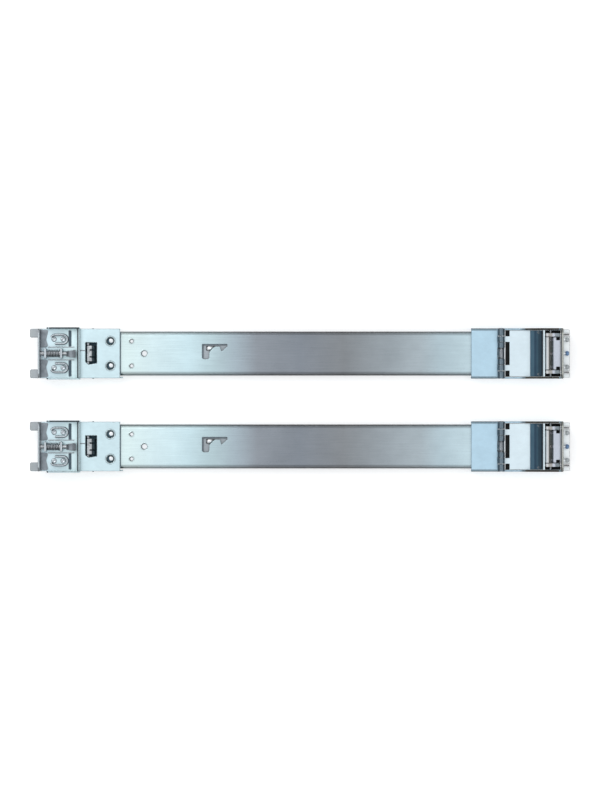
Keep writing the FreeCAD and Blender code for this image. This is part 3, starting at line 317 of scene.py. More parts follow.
metal("zinc_channel", None, rough=0.30, streaks=0.22, painted_light_bands=CHANNEL_PAINTED_LIGHT, corner_shade=0.3,
      edge=0.0009, bend_shade=(0.7, 0.93), shoulder_shade_line=(0.0541, 0.0225))
metal("zinc_bracket", None, rough=0.36, streak=(30, 60, 60), streaks=0.12, blotch=34,
      painted_light_bands=BRACKET_PAINTED_LIGHT, corner_shade=0.28, edge=0.0013, bend_shade=(0.75, 0.98))
# A darker copy of the zinc for the rolled eyes: painted shade of their curve.
metal("shaded_zinc_roll", linear(116, 132, 143), rough=0.3, streak=(120, 30, 120), streaks=0.3,
      edge=0.0004)
metal("zinc_door", linear(226, 241, 248), rough=0.38, streak=(30, 60, 60), streaks=0.1,
      edge=0.0006, corner_shade=0.25, bend_shade=(0.4, 0.97))
metal("zinc_member", linear(182, 190, 196), rough=0.32, streaks=0.35, edge=0.0008)
metal("bright_steel", linear(204, 208, 212), rough=0.24, streak=EVEN, streaks=0.12,
      corner_shade=0.7, reach=0.004)
metal("pin_steel", linear(186, 192, 194), rough=0.55, streak=EVEN, streaks=0.12, corner_shade=0.3,
      reach=0.002, metallic=0.45)
metal("dark_steel", linear(158, 166, 173), rough=0.38, streak=EVEN, streaks=0.25,
      worn=(0.6, 0.6, 0.62), blotch=160, cloudy=0.35, corner_shade=0.5, reach=0.003)
metal("pawl_steel", None, rough=0.34, painted_light_bands=PAWL_PAINTED_LIGHT, streak=EVEN, streaks=0.25,
      worn=(0.8, 0.8, 0.8), blotch=260, cloudy=0.5, corner_shade=0.3, reach=0.002)
metal("loop_steel", linear(206, 214, 220), rough=0.28, streak=EVEN, streaks=0.15, corner_shade=0.5,
      reach=0.003, bend_shade=(0.7, 0.97))
metal("polished", linear(244, 247, 249), rough=0.3, streak=EVEN, streaks=0.06, grain=0.05,
      corner_shade=0.0, edge=0.0003)
metal("spring_steel", linear(180, 186, 192), rough=0.3, streak=EVEN, streaks=0.2, corner_shade=0.85,
      reach=0.003)
metal("cage_steel", linear(190, 191, 193), rough=0.3)
metal("ball_steel", linear(226, 227, 230), rough=0.08, streak=EVEN, streaks=0.05, grain=0.03,
      wear=0.0, corner_shade=0.0)
metal("screw_black", linear(112, 122, 130), rough=0.4, streak=EVEN, streaks=0.1, corner_shade=0.5,
      reach=0.002, worn=(0.4, 0.45, 0.5), wear=0.3)
metal("chrome_hook", None, rough=0.15, streak=EVEN, streaks=0.08, grain=0.05,
      painted_light_bands=HOOK_PAINTED_REFLECTION, corner_shade=0.6, reach=0.003)
metal("blue_insert", linear(116, 148, 189), rough=0.5, streak=EVEN, streaks=0.12,
      worn=(0.3, 0.4, 0.6), corner_shade=0.3, metallic=0.45)
plastic("slate_cap", linear(72, 104, 128), linear(64, 94, 118), rough=0.34, spec=0.35,
        edge_light=linear(120, 146, 166)[:3], painted_light_bands=CAP_PAINTED_SHADE)
plastic("black_plastic", linear(28, 29, 29), linear(19, 20, 20), rough=0.55, spec=0.15)
# Finishes of dark pieces that stand in for shade and shadow: painted shade.
plastic("painted_shade_brown", linear(58, 55, 47), linear(46, 43, 37), rough=0.55, spec=0.25)
plastic("rubber_stop", linear(66, 72, 78), linear(48, 54, 60), rough=0.6, spec=0.3)
plastic("painted_shade_pale", linear(96, 112, 122), linear(80, 96, 106), rough=0.6, spec=0.3)
plastic("painted_shade_grey", linear(70, 97, 110), linear(54, 78, 90), rough=0.6, spec=0.25)

# The frame's own materials give way to the finish of the same name.
for name, node in nodes.items():
    for entry in node.material_slots:
        base = entry.material.name.split(".")[0] if entry.material else ""
        if name.endswith("depth_pawl"):
            base = "pawl_steel"
        if base in finish:
            entry.material = finish[base]


# ---- Building helpers (points in millimetres) ----
X_AXIS, Y_AXIS, Z_AXIS = (1, 0, 0), (0, 1, 0), (0, 0, 1)
BALL_REACH = math.sin(math.radians(55))  # half-width of the frame's balls as a share of radius
HAIR = 0.01  # radius that closes a lathed end
WELD = 1e-7  # metres; points nearer than this are one


def point(x, y, z=0.0):
    return Vector((x, y, z))


def mesh_of(name, verts, faces):
    mesh = bpy.data.meshes.new(name)
    mesh.from_pydata([Vector(v) * MM for v in verts], [], faces)
    mesh.update()
    shape = bmesh.new()
    shape.from_mesh(mesh)
    bmesh.ops.remove_doubles(shape, verts=shape.verts, dist=WELD)
    bmesh.ops.recalc_face_normals(shape, faces=shape.faces)
    shape.to_mesh(mesh)
    shape.free()
    return mesh


def piece(name, mesh, material, body, rounded_by=0.0):
    """New object that rides on a body, with its finish and, if asked, soft edges."""
    obj = bpy.data.objects.new(name, mesh)
    bpy.context.scene.collection.objects.link(obj)
    mesh.materials.append(finish[material])
    for polygon in mesh.polygons:
        polygon.use_smooth = True
    if rounded_by:
        bevel = obj.modifiers.new("soft edges", "BEVEL")
        bevel.width = rounded_by * MM
        bevel.segments = 3
        bevel.limit_method = "ANGLE"
        bevel.angle_limit = math.radians(40)
        obj.modifiers.new("faces", "WEIGHTED_NORMAL")
    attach(obj, body)
    return obj


def gathered(parts):
    """Verts and faces of several parts in one list each."""
    verts, faces = [], []
    for some, more in parts:
        start = len(verts)
        verts += some
        faces += [tuple(start + i for i in f) for f in more]
    return verts, faces


def frame_of(axis):
    """The axis at unit length, and two directions square to it."""
    axis = Vector(axis).normalized()
    side = Vector(Z_AXIS) if abs(axis.z) < 0.5 else Vector(X_AXIS)
    return axis, side, axis.cross(side)


def turned_to(side, other, radius, turn):
    return side * (radius * math.cos(turn)) + other * (radius * math.sin(turn))


def lathe(profile, origin, axis, steps=40):
    """Verts and faces of a profile (distance along axis, radius) turned about the axis."""
    axis, side, other = frame_of(axis)
    verts, faces = [], []
    for along, radius in profile:
        for i in range(steps):
            verts.append(Vector(origin) + axis * along
                         + turned_to(side, other, radius, 2 * math.pi * i / steps))
    count = len(profile)
    for row in range(count - 1):
        for i in range(steps):
            j = (i + 1) % steps
            faces.append((row * steps + i, row * steps + j,
                          (row + 1) * steps + j, (row + 1) * steps + i))
    for row, radius in ((0, profile[0][1]), (count - 1, profile[-1][1])):
        if radius > 1e-6:
            faces.append(tuple(row * steps + i for i in range(steps)))
    return verts, faces


def ring(profile, origin, axis, steps=48):
    """As lathe, for a closed profile that goes round a hole."""
    verts, faces = lathe(profile + profile[:1], origin, axis, steps)
    return verts, [f for f in faces if len(f) == 4]


def tube(points, radius, sides=10):
    """Round wire through the points, closed at both ends."""
    verts, faces = [], []
    last = len(points) - 1
    side = None
    for i, here in enumerate(points):
        ahead = (points[min(i + 1, last)] - points[max(i - 1, 0)]).normalized()
        if side is None:
            side = frame_of(ahead)[1]
        side = (side - ahead * side.dot(ahead)).normalized()
        other = ahead.cross(side)
        for k in range(sides):
            verts.append(here + turned_to(side, other, radius, 2 * math.pi * k / sides))
    for i in range(last):
        for k in range(sides):
            j = (k + 1) % sides
            faces.append((i * sides + k, i * sides + j, (i + 1) * sides + j, (i + 1) * sides + k))
    faces.append(tuple(range(sides)))
    faces.append(tuple(last * sides + k for k in range(sides)))
    return verts, faces


def coil(origin, axis, length, radius, wire, turns, steps_per_turn=22):
    """Coil spring of the given length; the radii are the winding's and the wire's."""
    axis, side, other = frame_of(axis)
    steps = int(turns * steps_per_turn)
    points = []
    for i in range(steps + 1):
        share = i / steps
        lift = wire + (length - 2 * wire) * share
        points.append(Vector(origin) + axis * lift
                      + turned_to(side, other, radius, 2 * math.pi * turns * share))
    return tube(points, wire)


def extruded(outline, low, high, place):
    """Prism from an outline of (u, v) between two levels; place(u, v, w) gives the point."""
    count = len(outline)
    verts = [Vector(place(u, v, w)) for w in (low, high) for u, v in outline]
    faces = [tuple(range(count)), tuple(range(count, 2 * count))]
    for i in range(count):
        j = (i + 1) % count
        faces.append((i, j, count + j, count + i))
    return verts, faces


def lying(u, v, w):
    """Place for extruded: outline (x, y), levels along z."""
    return u, v, w


def standing(u, v, w):
    """Place for extruded: outline (x, z), levels along y."""
    return u, w, v


def rounded(corners, steps=5):
    """Outline with each corner (u, v, radius) as a fine arc."""
    points = []
    count = len(corners)
    for i, (u, v, radius) in enumerate(corners):
        at = Vector((u, v))
        back = (Vector(corners[i - 1][:2]) - at).normalized()
        ahead = (Vector(corners[(i + 1) % count][:2]) - at).normalized()
        if radius <= 0:
            points.append(tuple(at))
            continue
        half = math.acos(max(-1, min(1, back.dot(ahead)))) / 2
        reach = radius / math.tan(half)
        centre = at + (back + ahead).normalized() * (radius / math.sin(half))
        start, end = at + back * reach - centre, at + ahead * reach - centre
        sweep = start.angle_signed(end)
        for k in range(steps + 1):
            turn = -sweep * k / steps
            cos, sin = math.cos(turn), math.sin(turn)
            points.append(tuple(centre + Vector((start.x * cos - start.y * sin,
                                                 start.x * sin + start.y * cos))))
    return points


def strip(x0, x1, y0, y1, radius, steps=5):
    """Outline of a rectangle with rounded corners."""
    return rounded([(x0, y0, radius), (x1, y0, radius), (x1, y1, radius), (x0, y1, radius)], steps)


def ball_profile(radius, steps=18):
    """Lathe profile of a whole ball."""
    turns = [math.pi * i / steps for i in range(steps + 1)]
    return [(-radius * math.cos(t), radius * math.sin(t)) for t in turns]


def ball_arc(centre, radius, first, last, steps=12):
    """Lathe profile of a ball between two angles in degrees, from its near pole."""
    turns = [math.radians(first + (last - first) * i / steps) for i in range(steps + 1)]
    return [(centre - radius * math.cos(t), radius * math.sin(t)) for t in turns]


def rounded_end(x0, r0, x1, r1, steps=6):
    """Quarter-round profile points from (x0, r0) to (x1, r1), leaving x0 along the axis."""
    turns = [math.pi / 2 * i / steps for i in range(1, steps + 1)]
    return [(x0 + (x1 - x0) * math.sin(t), r1 + (r0 - r1) * math.cos(t)) for t in turns]


def loop_outline(x0, x1, outer, inner, steps=20):
    """Flat loop open on one side: a half turn at x1 and a hooked end at x0."""
    def bent(centre, first, last, count):
        turns = [math.radians(first + (last - first) * i / count) for i in range(count + 1)]
        return [[(centre + r * math.cos(t), r * math.sin(t)) for t in turns]
                for r in (outer, inner)]
    bend_out, bend_in = bent(x1 - outer, 90, -90, steps)
    hook_out, hook_in = bent(x0 + outer, -90, -152, 8)
    return ([(x0 + outer, outer)] + bend_out + hook_out + hook_in[::-1] + bend_in[::-1]
            + [(x0 + outer, inner)])


def islands(node):
    """Centre and size of each loose solid of a CAD node."""
    shape = bmesh.new()
    shape.from_mesh(nodes[node].data)
    bmesh.ops.remove_doubles(shape, verts=shape.verts, dist=WELD)
    found, seen = [], set()
    for vert in shape.verts:
        if vert in seen:
            continue
        stack, group = [vert], []
        seen.add(vert)
        while stack:
            here = stack.pop()
            group.append(here.co.copy())
            for link in here.link_edges:
                there = link.other_vert(here)
                if there not in seen:
                    seen.add(there)
                    stack.append(there)
        low = Vector(min(c[i] for c in group) for i in range(3)) / MM
        high = Vector(max(c[i] for c in group) for i in range(3)) / MM
        found.append(((low + high) / 2, high - low))
    shape.free()
    return found


def surface_of(node):
    mesh = nodes[node].data
    return BVHTree.FromPolygons([v.co for v in mesh.vertices],
                                [tuple(f.vertices) for f in mesh.polygons])


def met_from_above(surface, x, y, start=60):
    """Point and normal where a plumb line from a height first meets the surface."""
    hit, normal, _, _ = surface.ray_cast(point(x, y, start) * MM, -Vector(Z_AXIS))
    return hit / MM, normal


class Rail:
    """One rail: the boxes of its CAD nodes, its main levels, and the way to add pieces to it."""

    def __init__(self, side):
        self.side = side
        low, high, _ = self.box("outer_channel")
        self.rear = low.x
        self.mid = (low.y + high.y) / 2
        self.top = high.z
        self.axis_z = self.box("threaded_insert")[2].z
        self.tongue_low, self.tongue_top = (corner.z for corner in self.box("rear_tongue")[:2])
        self.floor_top = self.tongue_top + 1.5
        self.sleeve_top = 20.9
        low, high, _ = self.box("front_bracket")
        self.bracket_half = (high.y - low.y) / 2

    def box(self, name):
        """Low corner, high corner and centre of one of the rail's CAD nodes."""
        low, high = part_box(self.side + "_" + name)
        low, high = low / MM, high / MM
        return low, high, (low + high) / 2

    def solids(self, name):
        return islands(self.side + "_" + name)

    def plan(self, u, v, w):
        """Place for extruded: outline (x, y from the rail's middle), levels along z."""
        return u, self.mid + v, w

    def mirrored(self, sign):
        """As plan, on either side of the rail's middle."""
        return lambda u, v, w: (u, self.mid + sign * v, w)

    def add(self, name, parts, material, body="root", replaces=None, rounded_by=0.0, sharp=None):
        """Add a piece made of parts, in place of a CAD node where one is named."""
        name = self.side + "_" + name
        rides = body if body == "root" else self.side + "_" + body
        obj = piece(name, mesh_of(name, *gathered(parts)), material, rides, rounded_by)
        if sharp:
            obj.data.set_sharp_from_angle(angle=math.radians(sharp))
        if replaces:
            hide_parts(self.side + "_" + replaces)
        return obj


# ---- The pieces of one rail ----
def add_balls(rail):
    """Balls as true polished spheres."""
    for row, body in (("outer_balls", "outer_cage"), ("inner_balls", "inner_cage")):
        parts = [lathe(ball_profile(size.y / 2 / BALL_REACH), centre, (0.3, 1, 0.2), 28)
                 for centre, size in rail.solids(row)]
        rail.add(row + "_round", parts, "ball_steel", body, replaces=row)


def add_front_springs(rail):
    """Coil springs of the door and of the hook."""
    for spring, wire, turns in (("door_spring", 0.55, 9.5), ("hook_spring", 0.28, 20.5)):
        low, high, centre = rail.box(spring)
        coils = coil(point(centre.x, low.y, centre.z), Y_AXIS, high.y - low.y,
                     (high.z - low.z) / 2 - wire, wire, turns)
        rail.add(spring + "_coil", [coils], "spring_steel", replaces=spring)


def add_hinge(rail):
    """Smooth rolled eyes over the faceted ones, and a pin with a domed head."""
    low, high, pin = rail.box("hinge_pin")
    spring_low, spring_high, _ = rail.box("door_spring")
    gap, bore, corner = 0.6, 1.62, 0.4
    eye = pin.x - rail.box("latch_door")[0].x
    spring_half = (spring_high.y - spring_low.y) / 2 + 0.3
    room = rail.bracket_half - 0.5 - spring_half - 3 * gap
    start = spring_half + gap
    for share, carrier in ((0.295, "bracket"), (0.315, "door"), (0.39, "bracket")):
        end = start + share * room
        width = end - start
        profile = [(0, bore), (0, eye - 0.45), (corner, eye), (width - corner, eye),
                   (width, eye - 0.45), (width, bore)]
        for sign in (1, -1):
            at = rail.mid + (start if sign > 0 else -end)
            name = "hinge_roll_%s_%d%s" % (carrier, round(start), "a" if sign > 0 else "b")
            rail.add(name, [ring(profile, point(pin.x, at, pin.z), Y_AXIS)], "shaded_zinc_roll",
                     "door" if carrier == "door" else "root", sharp=35)
        start = end + gap
    length = high.y - low.y
    shank, head = 1.55, 2.45
    profile = [(0, 0.9), (0.4, shank), (length - 0.95, shank), (length - 0.9, head),
               (length - 0.5, head)] + rounded_end(length - 0.5, head, length, 0.6)
    rail.add("hinge_pin_turned", [lathe(profile, point(pin.x, low.y, pin.z), Y_AXIS, 32)],
             "bright_steel", replaces="hinge_pin", sharp=35)


def add_pins(rail):
    """Locating pins and the threaded insert, turned with a neck and a ball nose."""
    ball_x, ball_r = 6.6, 2.78
    neck_end, ball_root = 4.6, 4.1
    neck = [(0, 2.0), (2.0, 2.0), (2.3, 1.7), (neck_end, 1.7)]
    low, high, centre = rail.box("locating_pins")
    offset = (high.y - low.y) / 2 - 2.8
    starts = [point(low.x, centre.y + sign * offset, centre.z) for sign in (1, -1)]
    rail.add("pin_necks", [lathe(neck, start, X_AXIS, 32) for start in starts], "polished",
             sharp=40)
    nose = [(ball_root, 1.5)] + ball_arc(ball_x, ball_r, 36, 166)
    rail.add("pins_turned", [lathe(nose, start, X_AXIS, 40) for start in starts], "pin_steel",
             replaces="locating_pins", sharp=40)

    bore, groove, turns = 1.55, 1.4, 8
    low, _, centre = rail.box("threaded_insert")
    start = point(low.x, centre.y, centre.z)
    rail.add("insert_neck", [ring(neck + [(neck_end, bore), (0, bore)], start, X_AXIS, 32)],
             "polished", sharp=40)
    nose = [(ball_root, bore)] + ball_arc(ball_x, ball_r, 36, 138)
    depth = nose[-1][0] - ball_root
    thread = []
    for i in range(turns + 1):
        thread.append((ball_root + depth * (1 - i / turns), groove))
        if i < turns:
            thread.append((ball_root + depth * (1 - (i + 0.5) / turns), bore))
    rail.add("insert_turned", [ring(nose + thread, start, X_AXIS, 40)], "blue_insert",
             replaces="threaded_insert", sharp=40)


def add_loops(rail):
    """Bent rear loops on dark plates a little wider than them, as painted shadow outlines, and the
    rivets inside them.
    """
    offset, wall = 16.6, 1.5
    low, high, _ = rail.box("guide_loops")
    half = high.y - rail.mid - offset
    loops, seats = [], []
    for sign in (1, -1):
        y = rail.mid + sign * offset
        place = (lambda u, v, w, y=y, flip=-sign: (u, y + flip * v, w))
        loops.append(extruded(loop_outline(low.x, high.x, half, half - wall), low.z, high.z,
                              place))
        # Painted shadow: a thin dark plate a little wider than each loop.
        seat = loop_outline(low.x - 0.55, high.x + 0.75, half + 0.65, half - wall - 0.5)
        seats.append(extruded(seat, low.z - 0.1, low.z + 0.22, place))
    rail.add("loop_shadow_outlines", seats, "screw_black", "rear", rounded_by=0.08)
    rail.add("loops_bent", loops, "loop_steel", "rear", replaces="guide_loops", rounded_by=0.35)

    low, high, _ = rail.box("rear_rivets")
    tall = high.z - low.z
    shank, head, crown = 2.0, 3.0, 1.5
    profile = [(0, 1.4), (0, shank), (tall - 1.0, shank), (tall - 0.98, head),
               (tall - 0.75, head)]
    profile += rounded_end(tall - 0.75, head, tall - 0.1, crown, 5)
    profile += [(tall - 0.35, 1.25), (tall - 0.4, HAIR)]
    rivets = [lathe(profile, point(centre.x, centre.y, low.z), Z_AXIS, 32)
              for centre, _ in rail.solids("rear_rivets")]
    rail.add("rivets_set", rivets, "loop_steel", "rear", replaces="rear_rivets", sharp=50)


def add_plunger(rail):
    """Turned plunger, its ribbed grip, and the coil spring, given a mesh of its own."""
    mid, axis_z = rail.mid, rail.axis_z
    low, high, _ = rail.box("rear_plunger")
    spring_low, spring_high, _ = rail.box("plunger_spring")
    grip_long, grip_half = 11.0, 5.2
    shaft, collar, collar_edge = 2.4, 4.9, 4.7
    at = spring_high.x + 0.05 - low.x
    profile = [(0, 1.2), (0.9, 2.2), (1.1, shaft), (at, shaft), (at, collar_edge),
               (at + 0.2, collar), (at + 0.8, collar), (at + 1.0, collar_edge),
               (at + 1.0, shaft), (high.x - grip_long - low.x + 1, shaft)]
    rail.add("plunger_turned", [lathe(profile, point(low.x, mid, axis_z), X_AXIS, 32)],
             "bright_steel", "plunger", replaces="rear_plunger", sharp=35)

    x0, x1 = high.x - grip_long, high.x
    shape = rounded([(x0, -grip_half + 1.6, 0.8), (x1, -grip_half, 1.2),
                     (x1, grip_half - 1, 1.2), (x0, grip_half - 2.6, 0.8)])
    parts = [extruded(shape, axis_z - 5.5, axis_z + 1.4, rail.plan)]
    for x, height in ((x0 + 0.6, 2.6), (x0 + 2.4, 3.2), (x1 - 2.0, 3.9)):
        foot, crown = axis_z + 1.0, axis_z + height
        rib = rounded([(x - 0.5, foot, 0), (x - 0.35, crown, 0.2), (x + 0.35, crown, 0.2),
                       (x + 0.6, foot, 0)], 3)
        reach = grip_half - 1.9 + 1.4 * (x - x0) / grip_long
        parts.append(extruded(rib, -reach - 0.2, reach - 0.9,
                              lambda u, v, w: (u, mid + w, v)))
    rail.add("plunger_grip", parts, "dark_steel", "plunger", rounded_by=0.25)

    wire, outer = 0.62, 4.6
    coils = coil(point(spring_low.x, mid, axis_z), X_AXIS, spring_high.x - spring_low.x,
                 outer - wire, wire, 7.5)
    obj = rail.add("plunger_coil", [coils], "spring_steel", "rear", replaces="plunger_spring")
    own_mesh(obj)


def add_plunged_holes(rail):
    """Rear sleeve: a dark strip in its mouth as painted shadow, and flared holes, each with a dark
    disc as painted shadow and a seat.
    """
    top, face = rail.top, rail.sleeve_top
    mouth = rail.box("rear_bracket")[1].x
    rims, seats, shadow_discs = [], [], []
    for sign in (1, -1):
        at = point(mouth - 14.4, rail.mid + sign * 14.4)
        rim = [(face - 1.4, 3.55), (face - 0.9, 3.7), (face - 0.25, 4.9), (face + 0.12, 5.5),
               (face + 0.2, 5.9), (face + 0.02, 6.3), (face - 0.2, 6.3), (face - 0.6, 5.2),
               (face - 1.2, 3.9)]
        rims.append(ring(rim, at, Z_AXIS))
        seat = [(top + 0.45, HAIR), (top + 0.45, 2.55), (top + 0.9, 2.4), (top + 1.0, 2.1),
                (top + 1.0, HAIR)]
        seats.append(lathe(seat, at + point(0.85, 0.45), Z_AXIS))
        # Painted shadow: a dark disc under each hole, round the seat.
        shadow_disc = [(top + 0.06, HAIR), (top + 0.06, 3.45), (top + 0.3, 3.5),
                  (top + 0.42, 3.35), (top + 0.46, HAIR)]
        shadow_discs.append(lathe(shadow_disc, at, Z_AXIS))
    # Painted shadow: a dark strip where the sleeve's end meets the channel.
    mouth_shadow = strip(mouth - 3.18, mouth - 2.25, -25.4, 25.4, 0.3, 3)
    rail.add("mouth_shadow_strip", [extruded(mouth_shadow, top + 0.06, face - 0.35, rail.plan)],
             "painted_shade_pale", "rear", rounded_by=0.15)
    rail.add("plunged_shadow_discs", shadow_discs, "painted_shade_grey", "rear", sharp=60)
    rail.add("plunged_rims", rims, "zinc_bracket", "rear", sharp=60)
    rail.add("plunged_seats", seats, "polished", "rear", sharp=60)


def add_channel_holes(rail):
    """Channel: tubular rivets, low rims round its three holes, and the detent's boss."""
    top, tongue = rail.top, rail.tongue_top
    rivets, rims, seats = [], [], []
    for centre, size in rail.solids("tongue_guide_rivets"):
        tall = size.z
        rivet = [(0, 1.7), (0, 3.9), (0.25, 4.2), (0.6, 4.2), (0.8, 4.0), (0.8, 2.5),
                 (tall, 2.5), (tall, 2.3), (tall - 0.6, 2.1), (tall - 1.2, 1.7)]
        rivets.append(ring(rivet, point(centre.x, centre.y, centre.z - tall / 2), Z_AXIS, 40))
        rim = [(top - 0.3, 2.5), (top + 0.12, 2.55), (top + 0.16, 2.9), (top + 0.02, 3.6),
               (top - 0.3, 3.6)]
        rims.append(ring(rim, point(centre.x, centre.y), Z_AXIS))
        seat = [(top - 0.9, HAIR), (top - 0.9, 1.95), (top - 0.45, 1.8), (top - 0.4, HAIR)]
        seats.append(lathe(seat, point(centre.x + 0.3, centre.y - 0.1), Z_AXIS, 32))
    rail.add("guide_rivets_set", rivets, "bright_steel", replaces="tongue_guide_rivets",
             sharp=40)
    detent = point(rail.box("tongue_guide_rivets")[2].x + 14.8, rail.mid)
    rim = [(top - 1.45, 3.45), (top - 0.4, 3.6), (top + 0.1, 3.85), (top + 0.14, 4.2),
           (top - 0.1, 4.9), (top - 1.0, 4.0)]
    rims.append(ring(rim, detent, Z_AXIS))
    rail.add("channel_rims", rims, "zinc_channel", sharp=60)
    rail.add("rivet_seats", seats, "polished", sharp=60)
    boss = [(tongue - 0.3, HAIR), (tongue - 0.3, 3.1), (tongue + 0.2, 2.9),
            (tongue + 0.24, HAIR)]
    rail.add("detent_boss", [lathe(boss, detent + point(0.45, 0), Z_AXIS)], "polished", "rear",
             sharp=60)


def add_shade_trims(rail):
    """Dark strips that paint shade on the crests of the front cheeks, and on one wall of the rear
    tray.
    """
    front = rail.box("front_bracket")[1].x
    crest = [(front - 52, 22.62), (front - 33.73, 32.1), (front - 32.8, 32.5),
             (front - 31.9, 32.78), (front - 31, 32.95), (front - 30.05, 33.0),
             (front - 13.4, 33.0)]
    shape = [(x, z + 0.22) for x, z in crest] + [(x, z - 0.5) for x, z in crest[::-1]]
    parts = []
    for sign in (1, -1):
        edge = sorted((sign * (rail.bracket_half - 1.95), sign * rail.bracket_half))
        parts.append(extruded(shape, rail.mid + edge[0], rail.mid + edge[1], standing))
    rail.add("cheek_shade_strips", parts, "painted_shade_brown", rounded_by=0.12)

    # Painted shade along the top of one tray wall.
    low, high, _ = rail.box("rear_bracket")
    x0, x1 = low.x + 23, low.x + 57.8
    z0, z1 = rail.floor_top + 11.9, rail.floor_top + 12.7
    shade_bar = [(x0, z0), (x1, z0), (x1, z1), (x0, z1)]
    rail.add("tray_wall_shade_strip", [extruded(shade_bar, high.y - 1.5, high.y - 0.05, standing)],
             "rubber_stop", "rear", rounded_by=0.15)


def add_cap_screws(rail):
    """Socket screws at the corners of the dark cap, square to its surface."""
    cap = surface_of(rail.side + "_door_cap")
    head = ([(-0.3, HAIR), (-0.3, 2.2), (0.15, 2.2)] + rounded_end(0.15, 2.2, 0.55, 1.3, 5)
            + [(0.5, 1.1), (0.05, 1.0), (0.0, HAIR)])
    parts = []
    for sign in (1, -1):
        hit, normal = met_from_above(cap, 277.4, rail.mid + sign * 24.2)
        parts.append(lathe(head, hit, normal, 32))
    rail.add("cap_screws", parts, "screw_black", "door", sharp=35)


def add_cutout(rail):
    """Dark strip inside the channel's cut-out, as painted shadow along its top and left edges, and
    the spring finger seen through it.
    """
    cut = rail.rear + 117.1
    # Painted shadow: a dark strip along the top and left edges of the cut-out.
    lip = [(cut, 11.0), (cut + 28.5, 11.0), (cut + 28.5, 9.6), (cut + 1.5, 9.6),
           (cut + 1.5, -5.8), (cut, -5.8)]
    rail.add("cutout_shadow_strips", [extruded(lip, rail.top - 1.45, rail.top - 0.25, rail.plan)],
             "screw_black", rounded_by=0.12)
    finger = rounded([(cut + 4.6, 3.4, 1.2), (cut + 8.4, 2.6, 1.8), (cut + 15.0, 6.4, 1.0),
                      (cut + 15.0, 8.8, 0.8), (cut + 4.6, 8.8, 1.2)])
    rail.add("cutout_finger", [extruded(finger, rail.tongue_top + 0.03, rail.tongue_top + 0.24,
                                        rail.plan)], "polished")


def add_tray_plates(rail):
    """Thin dark plates, as painted shadow, and stiffening ribs on the floor of the rear tray."""
    rear = rail.box("rear_bracket")[0].x
    bottom = rail.floor_top - 0.1
    shadow_plate = rounded([(rear + 12.1, 7.0, 0.8), (rear + 21.6, 7.0, 2.5), (rear + 18.8, 16.0, 5.0),
                      (rear + 21.6, 27.6, 2.0), (rear + 12.1, 27.6, 0.8)])
    rib = strip(rear + 21, rear + 51.5, 7.0, 7.9, 0.3, 3)
    for name, shape, height, material, edge in (
            ("tray_shadow_plates", shadow_plate, 0.45, "dark_steel", 0.12),
            ("tray_ribs", rib, 1.0, "loop_steel", 0.2)):
        parts = [extruded(shape, bottom, rail.floor_top + height, rail.mirrored(sign))
                 for sign in (1, -1)]
        rail.add(name, parts, material, "rear", rounded_by=edge)


def add_lip_and_seam(rail):
    """Turned-up lip behind the black slot, and the closed seam of the rear sleeve."""
    low = rail.box("latch_base")[0]
    lip = strip(low.x - 1.05, low.x + 0.25, rail.mid - 26.8, rail.mid + 26.8, 0.2, 2)
    rail.add("slot_lip", [extruded(lip, low.z + 2.3, rail.top - 0.12, lying)], "polished",
             rounded_by=0.15)
    window = rail.box("depth_pawl")[0].x - 1.3
    seam = strip(window - 9.4, window, rail.mid + 2.95, rail.mid + 3.95, 0.3, 3)
    rail.add("sleeve_seam", [extruded(seam, rail.sleeve_top - 0.5, rail.sleeve_top + 0.08,
                                      lying)], "dark_steel", "rear", rounded_by=0.05)


def add_pawl_shade_and_springs(rail):
    """Dark plate under the window as painted shade, and the pawl's two torsion springs."""
    low, high, _ = rail.box("depth_pawl")
    window_shade = strip(low.x - 3.6, high.x + 3.0, rail.mid - 15.5, rail.mid + 15.5, 2)
    rail.add("pawl_window_shade", [extruded(window_shade, rail.tongue_low - 3.4, rail.tongue_low - 2.1,
                                       lying)], "painted_shade_grey", "rear", rounded_by=0.3)
    pin = rail.box("pawl_pin")[2]
    parts = [coil(point(pin.x, rail.mid + start, pin.z), Y_AXIS, 3.2, 1.75, 0.4, 3.5)
             for start in (9.3, -12.5)]
    rail.add("pawl_springs", parts, "spring_steel", "rear")


def add_slot_shades(rail):
    """Dark strips, each with a lip, in the slots of the rear floor: painted shade in the slots."""
    slot = rail.box("rear_bracket")[0].x + 45.3
    floor_top = rail.floor_top
    parts = []
    for sign in (1, -1):
        inner, outer = sorted((rail.mid + sign * 7.6, rail.mid + sign * 26.4))
        slot_strip = strip(slot + 0.05, slot + 2.35, inner, outer, 0.6, 4)
        parts.append(extruded(slot_strip, floor_top - 1.45, floor_top + 0.05, lying))
        lip = strip(slot - 0.35, slot + 2.85, inner - 0.3, outer + 0.3, 0.6, 4)
        parts.append(extruded(lip, floor_top + 0.02, floor_top + 0.3, lying))
    rail.add("slot_shades", parts, "painted_shade_pale", "rear", rounded_by=0.1)


def add_post_caps(rail):
    """Clips over the two posts that guide the plunger."""
    spring_low, spring_high, _ = rail.box("plunger_spring")
    bracket = surface_of(rail.side + "_rear_bracket")
    parts = []
    for x, width in ((spring_low.x - 2.6, 2.6), (spring_high.x + 1.15, 2.4)):
        top = met_from_above(bracket, x + width / 2, rail.mid + 4.0)[0].z
        cap = strip(x + 0.05, x + width - 0.05, rail.mid - 5.4, rail.mid + 5.4, 0.5, 3)
        parts.append(extruded(cap, top - 0.15, top + 0.35, lying))
    rail.add("post_caps", parts, "loop_steel", "rear", rounded_by=0.1)


